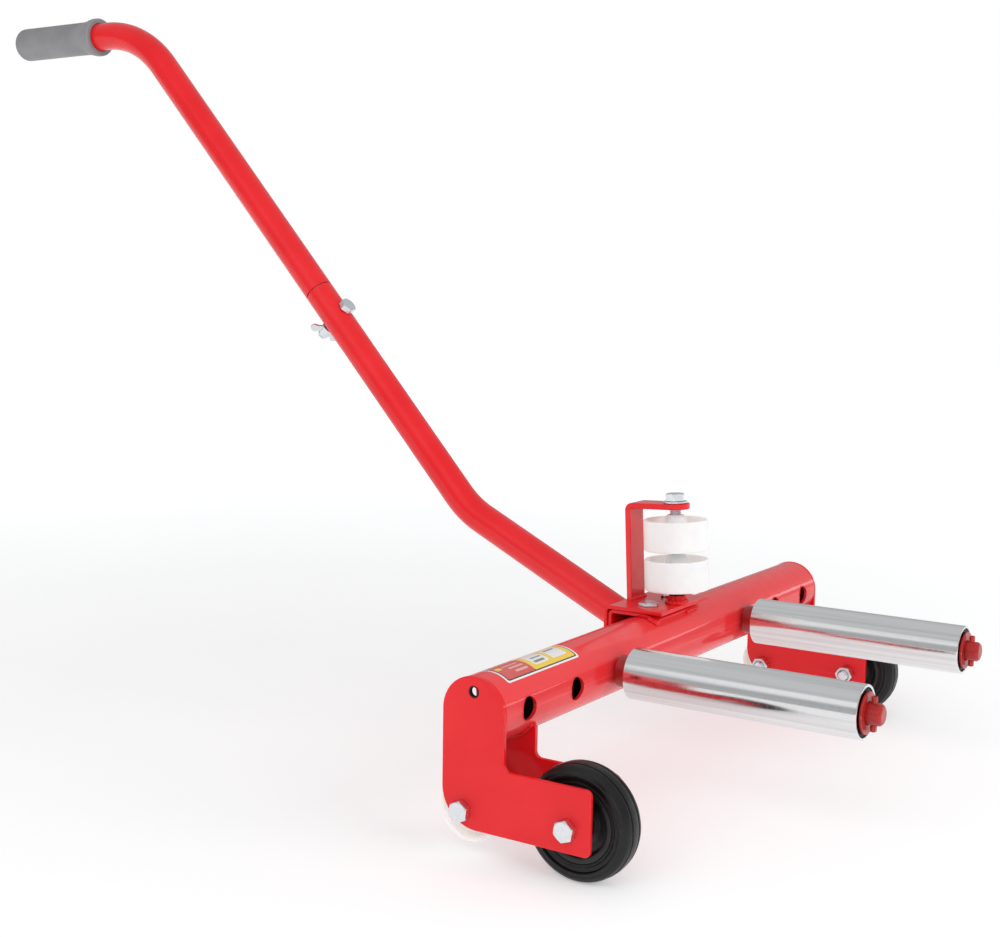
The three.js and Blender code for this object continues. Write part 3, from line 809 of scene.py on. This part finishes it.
def crossbeam():
    bore = BEAM_RADIUS - BEAM_WALL
    blank = ring(BEAM_RADIUS, bore, -BEAM_END, BEAM_END, 0, 192).moved(ALONG_X)
    cutter = Shape()
    for _, sign in SIDES:
        for x in STATIONS:
            cutter.add(through_hole(sign * x, 0, AXLE_HOLE, ALONG_Y))
        cutter.add(through_hole(sign * COACH_BOLT[0], COACH_BOLT[1], COACH_HOLE, Matrix()))
    mesh = drilled(mesh_of("crossbeam_blank", blank), cutter)
    mesh.shade_smooth()
    beam_normals(mesh)
    place("crossbeam", mesh, RED, ["crossbeam_tube"])
    # The bore takes the near-black steel: unpainted, and darker still as painted shade.
    mesh.materials.append(BARE_AND_SHADE[1])
    for face in mesh.polygons:
        middle = face.center - TO_ROW.translation
        inside = math.hypot(middle.y, middle.z) < (bore + 0.2) / 1000
        face.material_index = 1 if inside else 0
    for side, sign in SIDES:
        lips = Shape()
        for x in STATIONS:
            lips.add(hole_lip(sign * x, -1))
            lips.add(hole_lip(sign * x, 1))
        build_side(side, "axle_hole_lips", lips, RED)


crossbeam()

# ---- forks


def fork_front(brow=FORK_CORNER):
    """The outline below the beam, from the neck's corner down round the arm to the heel."""
    neck, corner = FORK_NECK, FORK_CORNER
    front, heel = FORK_FRONT + corner, FORK_REAR - FORK_HEEL
    brow_at = (FORK_FRONT + brow, FORK_ARM_TOP - brow)
    return [
        *arc((neck - corner, FORK_ARM_TOP + corner), corner, 0, -90, 10),
        *arc(brow_at, brow, 90, 180, 12),
        *arc((front, FORK_BOTTOM + corner), corner, 180, 270, 10),
        *arc((heel, FORK_BOTTOM + FORK_HEEL), FORK_HEEL, 270, 360, 32),
    ]


def fork_bolt_holes():
    return [circle(WHEEL_AT, M12_HOLE), circle(REAR_ROLLER_AT, M12_HOLE)]


def fork_outer_plate():
    arch = (FORK_REAR - FORK_NECK) / 2
    top = arc(((FORK_REAR + FORK_NECK) / 2, 0), arch, 0, 180, 64)
    holes = [*fork_bolt_holes(), circle((0, VENT_Z), VENT_RADIUS, 48)]
    return plate(top + fork_front(), holes, FORK_PLATE, soft=1.0)


def fork_inner_plate():
    """The same plate, cut away round the beam so that two horns reach up beside it."""
    lap = math.degrees(math.asin(-FORK_HORN / BRACKET_RADIUS))
    saddle = arc((0, 0), BRACKET_RADIUS, -lap, -180 + lap, 48)
    horns = [Vector((FORK_REAR, FORK_HORN)), *saddle, Vector((FORK_NECK, FORK_HORN))]
    return plate(horns + fork_front(brow=9), fork_bolt_holes(), FORK_PLATE, soft=0.7)


def fork_welds(sign):
    """A bead round the beam on both faces of the inner plate."""
    shape = Shape()
    for x, size, seed in ((FORK_INNER - 0.5, 2.2, 3), (FORK_INNER + FORK_PLATE + 0.5, 2.0, 8)):
        way = arc((0, 0), BRACKET_RADIUS + 0.55, -30, -150, 60)
        shape.add(bead([(sign * x, p.x, p.y) for p in way], size, seed + sign))
    return shape


def fork_seam(sign):
    """The ground weld where the beam meets the outer plate."""
    outline = rounded([(31.0, -0.6, 0.2), (31.9, -0.6, 0.5), (31.9, 0.5, 0.5), (31.0, 0.5, 0.2)])
    return lathe(outline, 160).moved(at(sign * (BEAM_END - 0.1), 0, 0) @ ALONG_X)


def fork_stand(sign, near):
    """Where a plate stands whose face towards the middle is this far out."""
    return at(near if sign > 0 else -near - FORK_PLATE, 0, 0) @ SECTION_ALONG_X


for side, sign in SIDES:
    outer, inner = fork_stand(sign, FORK_OUTER - FORK_PLATE), fork_stand(sign, FORK_INNER)
    build_side(side, "outer_fork_plate", fork_outer_plate(), RED, "fork_outer_plate", outer)
    build_side(side, "inner_fork_plate", fork_inner_plate(), RED, "fork_inner_plate", inner)
    # A near-black ring lining each vent hole: painted shade on the hole's wall.
    vent_shade_ring = ring(VENT_RADIUS, VENT_RADIUS - 1.1, 0.2, FORK_PLATE - 0.2, 0.3, 48)
    build_side(side, "vent_edge", vent_shade_ring, BARE_AND_SHADE, None, outer @ at(0, VENT_Z, 0))
    build_side(side, "fork_weld", fork_welds(sign), RED)
    build_side(side, "fork_seam", fork_seam(sign), RED)

# ---- wheels


def mirrored(half):
    """A lathe outline from the (radius, height, rounding) corners of its upper half, outermost last."""
    return rounded([(r, -h, c) for r, h, c in half] + [(r, h, c) for r, h, c in reversed(half)])


def tyre():
    """A crowned tread with a groove at each shoulder, and a sidewall stepped by a raised bead."""
    half = [
        (34.3, 12.4, 0.4), (36.4, 12.8, 0.5), (37.2, 11.6, 0.5), (40.6, 11.9, 0.8),
        (41.6, 14.2, 1.0), (43.2, 14.3, 0.8), (44.0, 13.4, 0.8), (46.8, 13.3, 2.2),
        (49.6, 11.2, 2.2), (50.9, 7.6, 0.8), (50.7, 6.3, 0.4), (49.6, 5.9, 0.3), (49.7, 5.0, 0.3),
        (51.2, 4.4, 0.5), (51.5, 1.5, 2.0),
    ]
    return lathe(mirrored(half), 160)


def wheel_rim():
    half = [
        (BORE, 20.5, 0.5), (14.6, 20.5, 0.8), (15.4, 7.0, 1.5), (20.0, 5.6, 2.0), (27.0, 5.6, 2.0),
        (28.6, 12.0, 1.0), (30.5, 12.5, 0.8), (34.0, 12.3, 0.5),
    ]
    return lathe(mirrored(half), 128)


def rear_roller():
    half = [
        (BORE, 20.5, 0.4), (13.6, 20.5, 0.8), (14.6, 11.0, 1.5), (26.0, 11.0, 1.5),
        (27.4, 16.8, 0.6), (30.6, 17.0, 1.4), (31.5, 15.4, 1.4),
    ]
    return lathe(mirrored(half), 160)


def fork_axle(side, sign, name, place_at, head_turn, nut_turn):
    """A bolt whose head is outside, a sleeve between the plates and a nut inboard."""
    outwards = Matrix.Rotation(sign * math.pi / 2, 4, "Y")

    def stand(x):
        return at(sign * x, *place_at) @ outwards

    sleeve = ring(SLEEVE_RADIUS, M12_HOLE, *SLEEVE_SPAN, 0.4, 64)
    head_at = stand(FORK_OUTER + GAP) @ turned(head_turn)
    nut_at = stand(FORK_INNER - 0.4 - NUT_HEIGHT) @ turned(nut_turn)
    nut = hexagon(17.8, NUT_HEIGHT, 6.15, under=True)
    screw = bolt(across=17.6, head=6.8, radius=6, length=70, threaded=24)
    build_side(side, f"{name}_axle_bolt", screw, ZINC, f"{name}_bolt", head_at)
    build_side(side, f"{name}_axle_sleeve", sleeve, STEEL, f"{name}_sleeve", stand(0))
    build_side(side, f"{name}_axle_nut", nut, ZINC, f"{name}_nut", nut_at)


for side, sign in SIDES:
    wheel_at = at(sign * FORK_MIDDLE, *WHEEL_AT) @ ALONG_X
    build_side(side, "wheel_tyre", tyre(), TYRE, "tyre", wheel_at, f"wheel_{side}")
    build_side(side, "wheel_hub", wheel_rim(), PLASTIC, "wheel_rim", wheel_at, f"wheel_{side}")
    fork_axle(side, sign, "wheel", WHEEL_AT, -10, 34)
    roller_at = at(sign * FORK_MIDDLE, *REAR_ROLLER_AT) @ ALONG_X
    roller = f"rear_roller_{side}"
    build_side(side, "nylon_rear_roller", rear_roller(), NYLON, "rear_roller", roller_at, roller)
    fork_axle(side, sign, "rear_roller", REAR_ROLLER_AT, -5, 22)

# ---- chromed rollers


def chromed_tube():
    inner = ROLLER_RADIUS - ROLLER_WALL
    outer = ROLLER_RADIUS
    front = [(inner, ROLLER_FRONT, 0.7), (outer, ROLLER_FRONT, 0.8)]
    back = [(outer, ROLLER_BACK, 0.8), (inner, ROLLER_BACK, 0.7)]
    return lathe(rounded(front + back), 192)


def roller_axle():
    corners = [
        (0, AXLE_TIP, 0), (AXLE_NECK_RADIUS, AXLE_TIP, 4.0), (AXLE_NECK_RADIUS, AXLE_NECK, 0.6),
        (AXLE_RADIUS, AXLE_NECK, 0.4), (AXLE_RADIUS, AXLE_TAIL - AXLE_CHAMFER, 0.5),
        (AXLE_RADIUS - AXLE_CHAMFER, AXLE_TAIL, 0.5), (0, AXLE_TAIL, 0),
    ]
    return lathe(rounded(corners), 96)


def spring_pin():
    """A rolled pin: a split tube with soft ends."""
    outer, inner, gap = 2.85, 1.7, 16
    outline = arc((0, 0), outer, gap, 360 - gap, 40) + arc((0, 0), inner, 360 - gap - 6, gap + 6, 28)
    pin = plate(outline, [], PIN_LENGTH, soft=0.45, steps=3)
    return pin.moved(at(0, PIN_Y, -PIN_LENGTH / 2) @ turned(-100))


def bush(front):
    return ring(ROLLER_RADIUS - ROLLER_WALL - GAP, AXLE_RADIUS + 0.4, front, front + BUSH_LENGTH, 0.5, 96)


for side, sign in SIDES:
    axle = at(sign * STATIONS[0], 0, 0)
    along = axle @ ALONG_Y
    puller, roller = f"axle_{side}", f"chrome_roller_{side}"
    build_side(side, "axle_bar", roller_axle(), AXLE_RED_AND_SHADE, "roller_axle", along, puller)
    collar = ring(COLLAR_RADIUS, AXLE_RADIUS + 0.1, *COLLAR_SPAN, 1.0, 96)
    build_side(side, "axle_collar", collar, AXLE_RED_AND_SHADE, "roller_collar", along, puller)
    washer = ring(WASHER_RADIUS, AXLE_RADIUS + 0.05, *WASHER_SPAN, 0.8)
    build_side(side, "front_washer", washer, AXLE_RED_AND_SHADE, "roller_washer", along, puller)
    build_side(side, "spring_pin", spring_pin(), AXLE_RED_AND_SHADE, "roller_pin", axle, puller)
    build_side(side, "chromed_tube", chromed_tube(), CHROME, "roller_tube", along, roller)
    front, back = bush(ROLLER_FRONT + 1.1), bush(ROLLER_BACK - GAP - BUSH_LENGTH)
    build_side(side, "front_bush", front, BUSH_PLASTIC, "roller_front_bush", along, roller)
    build_side(side, "back_bush", back, PLASTIC, "roller_back_bush", along, roller)

# ---- brackets


def folded(section, length, soft):
    """A bent sheet: its section in (Y, Z), centred along X, with soft ends."""
    return plate(section, [], length, soft=soft).moved(at(-length / 2, 0, 0) @ SECTION_ALONG_X)


def saddle_bracket():
    fold = 6
    outer = BRACKET_RADIUS + BRACKET_SHEET
    centre = (outer - fold, outer - fold)
    nose = 90 + SADDLE_WRAP
    section = [
        *arc((0, 0), BRACKET_RADIUS, nose, 90, 24),
        *arc(centre, fold - BRACKET_SHEET, 90, 0, 8),
        *rounded_end((BRACKET_RADIUS, SADDLE_SKIRT), (outer, SADDLE_SKIRT)),
        *arc(centre, fold, 0, 90, 16),
        *arc((0, 0), outer, 90, nose, 24),
    ]
    return folded(section, 102, 0.8)


def rounded_end(first, last, soft=0.7):
    """The end of a sheet from one corner to the other, both eased."""
    a, b = Vector(first), Vector(last)
    along = (b - a).normalized()
    out = Vector((along.y, -along.x))
    ease = soft * 0.3
    start = [a - out * soft, a - out * ease + along * ease, a + along * soft]
    return [*start, b - along * soft, b - out * ease - along * ease, b - out * soft]


def base_plate():
    fold = 7
    centre = (BASE_TOP - fold, BASE_TOP - fold)
    section = [
        *arc(centre, fold, 0, 90, 18),
        *rounded_end((BASE_FRONT, BASE_TOP), (BASE_FRONT, BASE_UNDER)),
        *arc(centre, fold - BRACKET_SHEET, 90, 0, 10),
        *rounded_end((BASE_UNDER, BASE_SKIRT), (BASE_TOP, BASE_SKIRT)),
    ]
    return folded(section, 106, 0.9)


def coach_bolt():
    """A domed head on a bolt that goes down through the brackets and the beam."""
    under = BASE_TOP + GAP
    edge = under + 0.9
    dome = [(p.x, edge + p.y * 3.6 / 10.5) for p in arc((0, 0), 10.5, 0, 90, 12)]
    head = lathe([(0, under), (10.5, under), *dome], 96)
    shank = lathe([(0, -30), (5, -30), (5, under + 0.2), (0, under + 0.2)], 48)
    return head.add(shank).add(thread(5, -46, -29.5, 1.5))


def weld_pip():
    """A drop of weld beside the guide's nut, near black as painted shade."""
    return lathe(rounded([(0, 0, 0), (1.5, 0, 0.2), (1.5, 2.4, 1.1), (0, 2.4, 0)]), 32)


def bracket_welds():
    """Short tacks along the saddle's front edge, and one round each of its front corners."""
    shape = Shape()
    reach = BRACKET_RADIUS + 1.4
    brow = math.radians(SADDLE_WRAP + 1)
    y, z = -reach * math.sin(brow), reach * math.cos(brow)
    for start, end, size, seed in ((-52.5, -43, 3.0, 1), (20, 47, 2.3, 5)):
        shape.add(bead([(start, y, z), (end, y, z)], size, seed, pitch=3.6))
    for sign in (-1, 1):
        way = arc((0, 0), BRACKET_RADIUS + 1.2, 90 + SADDLE_WRAP, 108, 20)
        shape.add(bead([(sign * 51.3, p.x, p.y) for p in way], 2.1, 4 + sign))
    return shape


def brackets():
    build("saddle_sheet", saddle_bracket(), RED, ["saddle_bracket"])
    build("base_plate_sheet", base_plate(), RED, ["guide_base_plate"])
    build("weld_pip", weld_pip(), BARE_AND_SHADE, (), at(15.3, 7.8, BASE_TOP - 0.2))
    build("bracket_weld", bracket_welds(), RED)
    for side, sign in SIDES:
        stand = at(sign * COACH_BOLT[0], COACH_BOLT[1], 0)
        nut = hexagon(17.5, 8.4, 5.15, under=True)
        build_side(side, "coach_bolt", coach_bolt(), ZINC, "bracket_bolt", stand)
        nut_at = stand @ at(0, 0, COACH_NUT_Z) @ turned(12 + 20 * sign)
        build_side(side, "coach_nut", nut, ZINC, "bracket_nut", nut_at)


brackets()

# ---- wheel guide


def guide_arm_mesh():
    """A flat bar with a round nose, bent forwards over the rollers: drawn flat and then folded."""
    half, thick, fold = 15, GUIDE_SHEET, 5
    middle = GUIDE_BACK - thick / 2
    foot = GUIDE_BACK * math.tan(math.radians(GUIDE_LEAN)) + GAP
    rise = GUIDE_ARM_UNDER + thick - 8 - foot
    turn = fold * math.pi / 2
    nose = rise + turn + (middle - fold - GUIDE_AXIS)
    outline = [Vector((0, half)), Vector((0, -half)), *arc((nose, 0), half, -90, 90, 40)]
    flat = plate(outline, [circle((nose, 0), M12_HOLE)], thick, soft=0.9)
    work = bmesh.new()
    points = [work.verts.new(point) for point in flat.points]
    for face in flat.faces:
        work.faces.new([points[i] for i in face])
    for i in range(15):
        cut = (rise + turn * i / 14, 0, 0)
        parts = work.verts[:] + work.edges[:] + work.faces[:]
        bmesh.ops.bisect_plane(work, geom=parts, plane_co=cut, plane_no=(1, 0, 0), dist=1e-5)
    for vert in work.verts:
        along, across, deep = vert.co
        out = deep - thick / 2
        if along <= rise:
            place_at = (across, middle + out, foot + along)
        elif along <= rise + turn:
            angle = (along - rise) / fold
            reach = fold + out
            y, z = reach * math.cos(angle), reach * math.sin(angle)
            place_at = (across, middle - fold + y, foot + rise + z)
        else:
            place_at = (across, middle - fold - (along - rise - turn), foot + rise + fold + out)
        vert.co = TO_ROW @ GUIDE_FRAME @ Vector(place_at)
    bmesh.ops.recalc_face_normals(work, faces=work.faces)
    mesh = bpy.data.meshes.new("guide_arm_bar")
    work.to_mesh(mesh)
    work.free()
    return mesh


def guide_roller():
    """A cup: a deep groove round a conical hub that stands above the rim."""
    corners = [
        (6.5, 0, 0.4), (24, 0, 0.5), (25, 0.8, 0.5), (30, 0.8, 1.0), (33.5, 1.2, 2.6),
        (33.5, 33, 1.4), (30.3, 33, 0.9), (28.6, 9, 2.4), (12.6, 9, 2.4), (11.2, 33.6, 2.5),
        (8.6, 38, 0.8), (6.5, 38, 0.5),
    ]
    return lathe(rounded(corners), 160)


def rough_nut():
    """A hexagon nut softened and pitted under thick paint."""
    shape = hexagon(17.6, 7.4, 6.3, under=True)
    for i, point in enumerate(shape.points):
        reach = math.hypot(point.x, point.y)
        if reach > 7.5:
            rough = noise.noise(point * 0.22) * 1.6 + noise.noise(point * 0.7) * 0.9
            wider = 1 + rough * 0.09
            taller = 1 + noise.noise(point * 0.31) * 0.12
            shape.points[i] = Vector((point.x * wider, point.y * wider, point.z * taller))
    return shape


def guide_welds():
    """A bead across the arm's foot, front and back, and lumps round the nut."""
    shape = Shape()
    front, back = GUIDE_BACK - 6.6, GUIDE_BACK + 0.4
    low = 0.9
    shape.add(bead([(-15, front, low + 1), (15, front, low + 1)], 2.3, 11))
    for x, seed in ((-15.4, 13), (15.4, 14)):
        shape.add(bead([(x, front, low), (x, back, low)], 1.9, seed))
    around = [(p.x, p.y, 0.6) for p in arc((0, GUIDE_AXIS), 10.6, 0, 354, 59)]
    shape.add(bead(around, 2.5, 17, closed=True, pitch=3.4))
    return shape.moved(GUIDE_FRAME)


def guide():
    finished("guide_arm_bar", guide_arm_mesh(), RED, ["guide_arm"])
    build("guide_weld", guide_welds(), RED)
    build("guide_foot_nut", rough_nut(), THIN_RED, ["guide_base_nut"], GUIDE_AXIS_FRAME)
    # A near-black ring between the foot nut and the lower cup: painted shade for the dark gap there.
    neck = ring(8, 6.05, 7, GUIDE_UNDERSIDES["lower"] - GAP, 0.3, 64)
    build("guide_foot_shade_ring", neck, BARE_AND_SHADE, (), GUIDE_AXIS_FRAME)
    washer = ring(12.5, 6.5, *GUIDE_WASHER_SPAN, 0.5, 96)
    build("guide_top_washer", washer, ZINC, ["guide_washer"], GUIDE_AXIS_FRAME)
    seat = GUIDE_AXIS_FRAME @ at(0, 0, GUIDE_WASHER_SPAN[1] + GAP) @ turned(20)
    screw = bolt(across=18.4, head=7.6, radius=6, length=105.3, threaded=98)
    build("guide_long_bolt", screw, ZINC, ["guide_bolt"], seat)
    for level, underside in GUIDE_UNDERSIDES.items():
        roller = f"guide_roller_{level}"
        stand = GUIDE_AXIS_FRAME @ at(0, 0, underside)
        build(f"guide_cup_{level}", guide_roller(), NYLON, [roller], stand, roller)


guide()

# ---- handle


def lower_tube():
    way = heading(LOWER_SLOPE)
    turn = bend(LOWER_CORNER, LOWER_SLOPE, UPPER_SLOPE, 110, 14)
    end = along_upper(HANDLE_SEAM - 1.3)
    start = Vector(HANDLE_ROOT) - way * 12
    shape = tube([(start, way), *turn, (end, UPPER_WAY)], HANDLE_RADIUS, HANDLE_RADIUS - HANDLE_WALL)
    face = HANDLE_ROOT[0] - 0.2
    for point in shape.points:
        if point.y < face:
            point += Vector((0, way.x, way.y)) * ((face - point.y) / way.x)
    return shape


def upper_tube():
    turn = bend(along_upper(UPPER_RUN), UPPER_SLOPE, 0, 135, 34)
    path = [(along_upper(HANDLE_SEAM), UPPER_WAY), *turn, (Vector((HANDLE_END, GRIP_Z)), Vector((1, 0)))]
    return tube(path, HANDLE_RADIUS, HANDLE_RADIUS - HANDLE_WALL)


def spigot():
    path = [(along_upper(HANDLE_SEAM - 76), UPPER_WAY), (along_upper(HANDLE_SEAM + 60), UPPER_WAY)]
    return tube(path, 15.3, 13.3, 64)


def grip():
    """A moulded sleeve with a flared mouth, a faint waist behind it and a round closed end."""
    mouth = HANDLE_RADIUS + GAP
    corners = [
        (mouth, GRIP_MOUTH, 0.8), (23.8, GRIP_MOUTH, 2.2), (23.8, GRIP_MOUTH + 7, 5),
        (20.9, GRIP_MOUTH + 20, 8), (20.7, GRIP_MOUTH + 40, 20), (20.9, GRIP_END, 7.5),
        (0, GRIP_END, 0), (0, HANDLE_END + GAP, 0), (mouth, HANDLE_END + GAP, 0.5),
    ]
    return lathe(rounded(corners), 128)


def root_weld():
    """A bead where the handle meets the bracket's web."""
    y, z = HANDLE_ROOT[0] + 0.7, HANDLE_ROOT[1]
    around = arc((0, 0), HANDLE_RADIUS + 0.6, 0, 357, 119)
    path = [(p.x, y, z + p.y / math.cos(LOWER_SLOPE)) for p in around]
    return bead(path, 2.5, 21, closed=True, pitch=3.2)


def wing_nut_mesh():
    """A cast nut: a round hub that flows into two raised wings."""
    shape = lathe(rounded([(5.3, 0, 0.3), (8.2, 0, 0.6), (6.7, 12.5, 1.0), (5.3, 12.5, 0.3)]), 72)
    underside = [Vector(p) for p in ((5.9, 1.2), (8.6, 2.2), (11.4, 4.0))]
    topside = [Vector(p) for p in ((6.4, 8.2), (5.9, 6.5))]
    wing = [*underside, *arc((13.3, 9.3), 5.2, -52, 137, 24), *topside]
    for turn in (0, 180):
        stand = turned(turn) @ Matrix.Rotation(math.pi / 2, 4, "X") @ at(0, 0, -1.7)
        shape.add(plate(wing, [], 3.4, soft=1.0).moved(stand))
    facing = Matrix.Rotation(math.pi, 4, "X")
    seat = HANDLE_BOLT_FRAME @ at(0, 0, -HANDLE_RADIUS - GAP) @ turned(142) @ facing
    raw = mesh_of("wing_nut_raw", shape, seat)
    return evaluated(
        raw,
        ("REMESH", {"mode": "VOXEL", "voxel_size": 0.00032, "use_smooth_shade": True}),
        ("SMOOTH", {"factor": 0.5, "iterations": 7}),
    )


def handle():
    build("handle_lower", lower_tube(), RED, ["lower_handle_tube"])
    build("handle_upper", upper_tube(), RED, ["upper_handle_tube"])
    build("handle_inner_spigot", spigot(), STEEL, ["handle_spigot"])
    build("handle_weld", root_weld(), RED)
    stand = at(0, 0, GRIP_Z) @ ALONG_Y
    build("rubber_grip", grip(), GRIP, ["handle_grip"], stand)
    seat = HANDLE_BOLT_FRAME @ at(0, 0, HANDLE_RADIUS + GAP) @ turned(10)
    screw = bolt(across=17.5, head=7, radius=5, length=51, threaded=26, pitch=1.5)
    build("handle_hex_bolt", screw, ZINC, ["handle_bolt"], seat)
    place("cast_wing_nut", wing_nut_mesh(), ZINC, ["wing_nut"], "wing_nut")


handle()

# ---- blank label


def patch(start, end, low, high, lift, corner):
    """A piece of film round the beam: its extent along X, and in degrees from the top towards the front."""
    reach = BEAM_RADIUS + lift
    near, far = [math.radians(v) * reach for v in (low, high)]
    outline = rounded([(start, near, corner), (end, near, corner), (end, far, corner), (start, far, corner)])
    rows = 26
    shape = Shape()
    lower, upper = min(near, far), max(near, far)
    top, under = [], []
    for k in range(rows + 1):
        level = lower + (upper - lower) * k / rows
        level = min(max(level, lower + 1e-3), upper - 1e-3)
        cuts = []
        for a, b in zip(outline, outline[1:] + outline[:1]):
            if (a.y - level) * (b.y - level) <= 0 and a.y != b.y:
                cuts.append(a.x + (b.x - a.x) * (level - a.y) / (b.y - a.y))
        turn = level / reach
        for radius, store in ((reach, top), (BEAM_RADIUS - 0.02, under)):
            y, z = -radius * math.sin(turn), radius * math.cos(turn)
            store.append(shape.row([(min(cuts), y, z), (max(cuts), y, z)]))
    for k in range(rows):
        shape.faces.append((*top[k], *reversed(top[k + 1])))
        shape.faces.append((*under[k + 1], *reversed(under[k])))
        for side in (0, 1):
            shape.faces.append((top[k][side], top[k + 1][side], under[k + 1][side], under[k][side]))
    for k in (0, rows):
        shape.faces.append((*top[k], *reversed(under[k])))
    return shape


def label():
    """A blank label of plain colour fields: it carries no wording and no signs."""
    colours = {
        "white": (0.88, 0.87, 0.85), "black": (0.02, 0.02, 0.02), "red": (0.70, 0.06, 0.05),
        "yellow": (0.94, 0.62, 0.03), "pale": (0.85, 0.42, 0.36), "grey": (0.22, 0.22, 0.23),
    }
    films = {name: film(f"film_{name}", colour) for name, colour in colours.items()}
    # Name, colour, start and end along X, lowest and highest angle, lift off the beam, corner radius.
    fields = (
        ("border", "white", -327, -206, -22, 40, 0.06, 2.0),
        ("line", "black", -324.6, -208.4, -20.2, 36.6, 0.09, 1.6),
        ("red", "red", -323.0, -279, -19.4, 34.2, 0.12, 1.2),
        ("yellow", "yellow", -279, -210, -19.4, 34.2, 0.12, 1.2),
        ("panel_near", "white", -272, -247, -14, 25, 0.15, 2.0),
        ("panel_far", "white", -241, -217, -14, 25, 0.15, 2.0),
        ("block_one", "grey", -269, -252, 15, 21, 0.18, 0.6),
        ("block_two", "grey", -266, -250, 5, 9, 0.18, 0.6),
        ("block_three", "grey", -238, -221, -3, 2, 0.18, 0.6),
        ("mark", "yellow", -321, -313, 0, 9, 0.15, 0.8),
        ("bar_one", "pale", -310, -286, 1, 4, 0.15, 0.6),
        ("bar_two", "pale", -306, -284, 10, 14, 0.15, 0.6),
        ("bar_three", "pale", -303, -284, 20, 25, 0.15, 0.6),
    )
    for name, colour, start, end, low, high, lift, corner in fields:
        build(f"label_{name}", patch(start, end, low, high, lift, corner), films[colour], sharp=60)


label()

# ---- studio, m and degrees

CAMERA_PLACE = (-1.41186, -1.06459, 0.50135)
CAMERA_ANGLES = (-56.44, 6.845, 0.843)
WINDOW = (-2.4, -0.3, 1.9)
DOLLY = (0, -0.05, 0.15)


def floor():
    """A pale sheet under the object."""
    mesh = bpy.data.meshes.new("studio_floor")
    mesh.from_pydata([(-9, -9, 0), (9, -9, 0), (9, 9, 0), (-9, 9, 0)], [], [(0, 1, 2, 3)])
    sheet = linked("studio_floor", mesh)
    look = Look("studio_paper", Roughness=0.9, Emission_Color=(1, 1, 1, 1))
    look.colour(look.ramp(look.noise(2, 3), (0.3, (0.74, 0.74, 0.74)), (0.7, (0.76, 0.76, 0.76))))
    away = look.node("VectorMath", {0: look.place}, operation="LENGTH").outputs["Value"]
    look.feed("Emission Strength", look.range(away, 0.4, 3.5, 0.34, 0.72))
    mesh.materials.append(look.material)


def softbox(name, where, towards, width, height, strength, mirrored_by_gloss=True):
    light = bpy.data.lights.new(name, "AREA")
    light.shape = "RECTANGLE"
    light.size = width
    light.size_y = height
    light.energy = strength
    lamp = linked(name, light)
    lamp.visible_glossy = mirrored_by_gloss
    lamp.location = where
    lamp.rotation_euler = (Vector(towards) - Vector(where)).to_track_quat("-Z", "Y").to_euler()


def room(horizon, zenith, backdrop):
    """A pale room, a little darker towards the horizon, and what the camera sees in its place."""
    world = bpy.data.worlds.new("studio_room")
    world.use_nodes = True
    nodes = Nodes(world.node_tree)
    tree = world.node_tree
    way = nodes.node("TexCoord").outputs["Generated"]
    height = nodes.node("SeparateXYZ", {"Vector": way}).outputs["Z"]
    light = tree.nodes["Background"]
    light.inputs["Color"].default_value = (0.97, 0.985, 1, 1)
    tree.links.new(nodes.range(height, 0, 0.7, horizon, zenith), light.inputs["Strength"])
    seen = nodes.node("Background", {"Color": (1, 1, 1, 1), "Strength": backdrop})
    ray = nodes.node("LightPath").outputs["Is Camera Ray"]
    both = {0: ray, 1: light.outputs["Background"], 2: seen.outputs["Background"]}
    choice = nodes.node("MixShader", both)
    tree.links.new(choice.outputs["Shader"], tree.nodes["World Output"].inputs["Surface"])
    bpy.context.scene.world = world


def camera():
    """The view: from the left of the dolly, a little above it, and a touch tilted."""
    azimuth, elevation, roll = (math.radians(angle) for angle in CAMERA_ANGLES)
    out = math.cos(elevation)
    back = Vector((math.sin(azimuth) * out, -math.cos(azimuth) * out, math.sin(elevation)))
    right = Vector((math.cos(azimuth), math.sin(azimuth), 0))
    up = back.cross(right)
    tilted_right = right * math.cos(roll) + up * math.sin(roll)
    tilted_up = up * math.cos(roll) - right * math.sin(roll)
    lens = bpy.data.cameras.new("studio_camera")
    lens.sensor_width = 36
    lens.lens = 54.896
    lens.shift_x = 0.00949
    lens.shift_y = 0.00072
    lens.clip_end = 60
    holder = linked("studio_camera", lens)
    facing = Matrix((tilted_right, tilted_up, back)).transposed().to_4x4()
    holder.matrix_world = at(*CAMERA_PLACE) @ facing
    bpy.context.scene.camera = holder


floor()
room(0.42, 0.62, 1.0)
softbox("window", WINDOW, DOLLY, 3.0, 1.2, 4.0)
softbox("window_middle", WINDOW, DOLLY, 3.0, 0.5, 1.6)
softbox("key", (-2.5, -0.8, 1.9), DOLLY, 2.4, 1.6, 19.8, mirrored_by_gloss=False)
softbox("strip", (2.46, -1.68, 0.45), (0, 0, 0.14), 2.2, 0.2, 3.9)
softbox("front_fill", (-0.3, -2.8, 1.5), (0, 0, 0.2), 2.0, 1.2, 22, mirrored_by_gloss=False)
camera()
bpy.context.scene.view_settings.view_transform = "Standard"
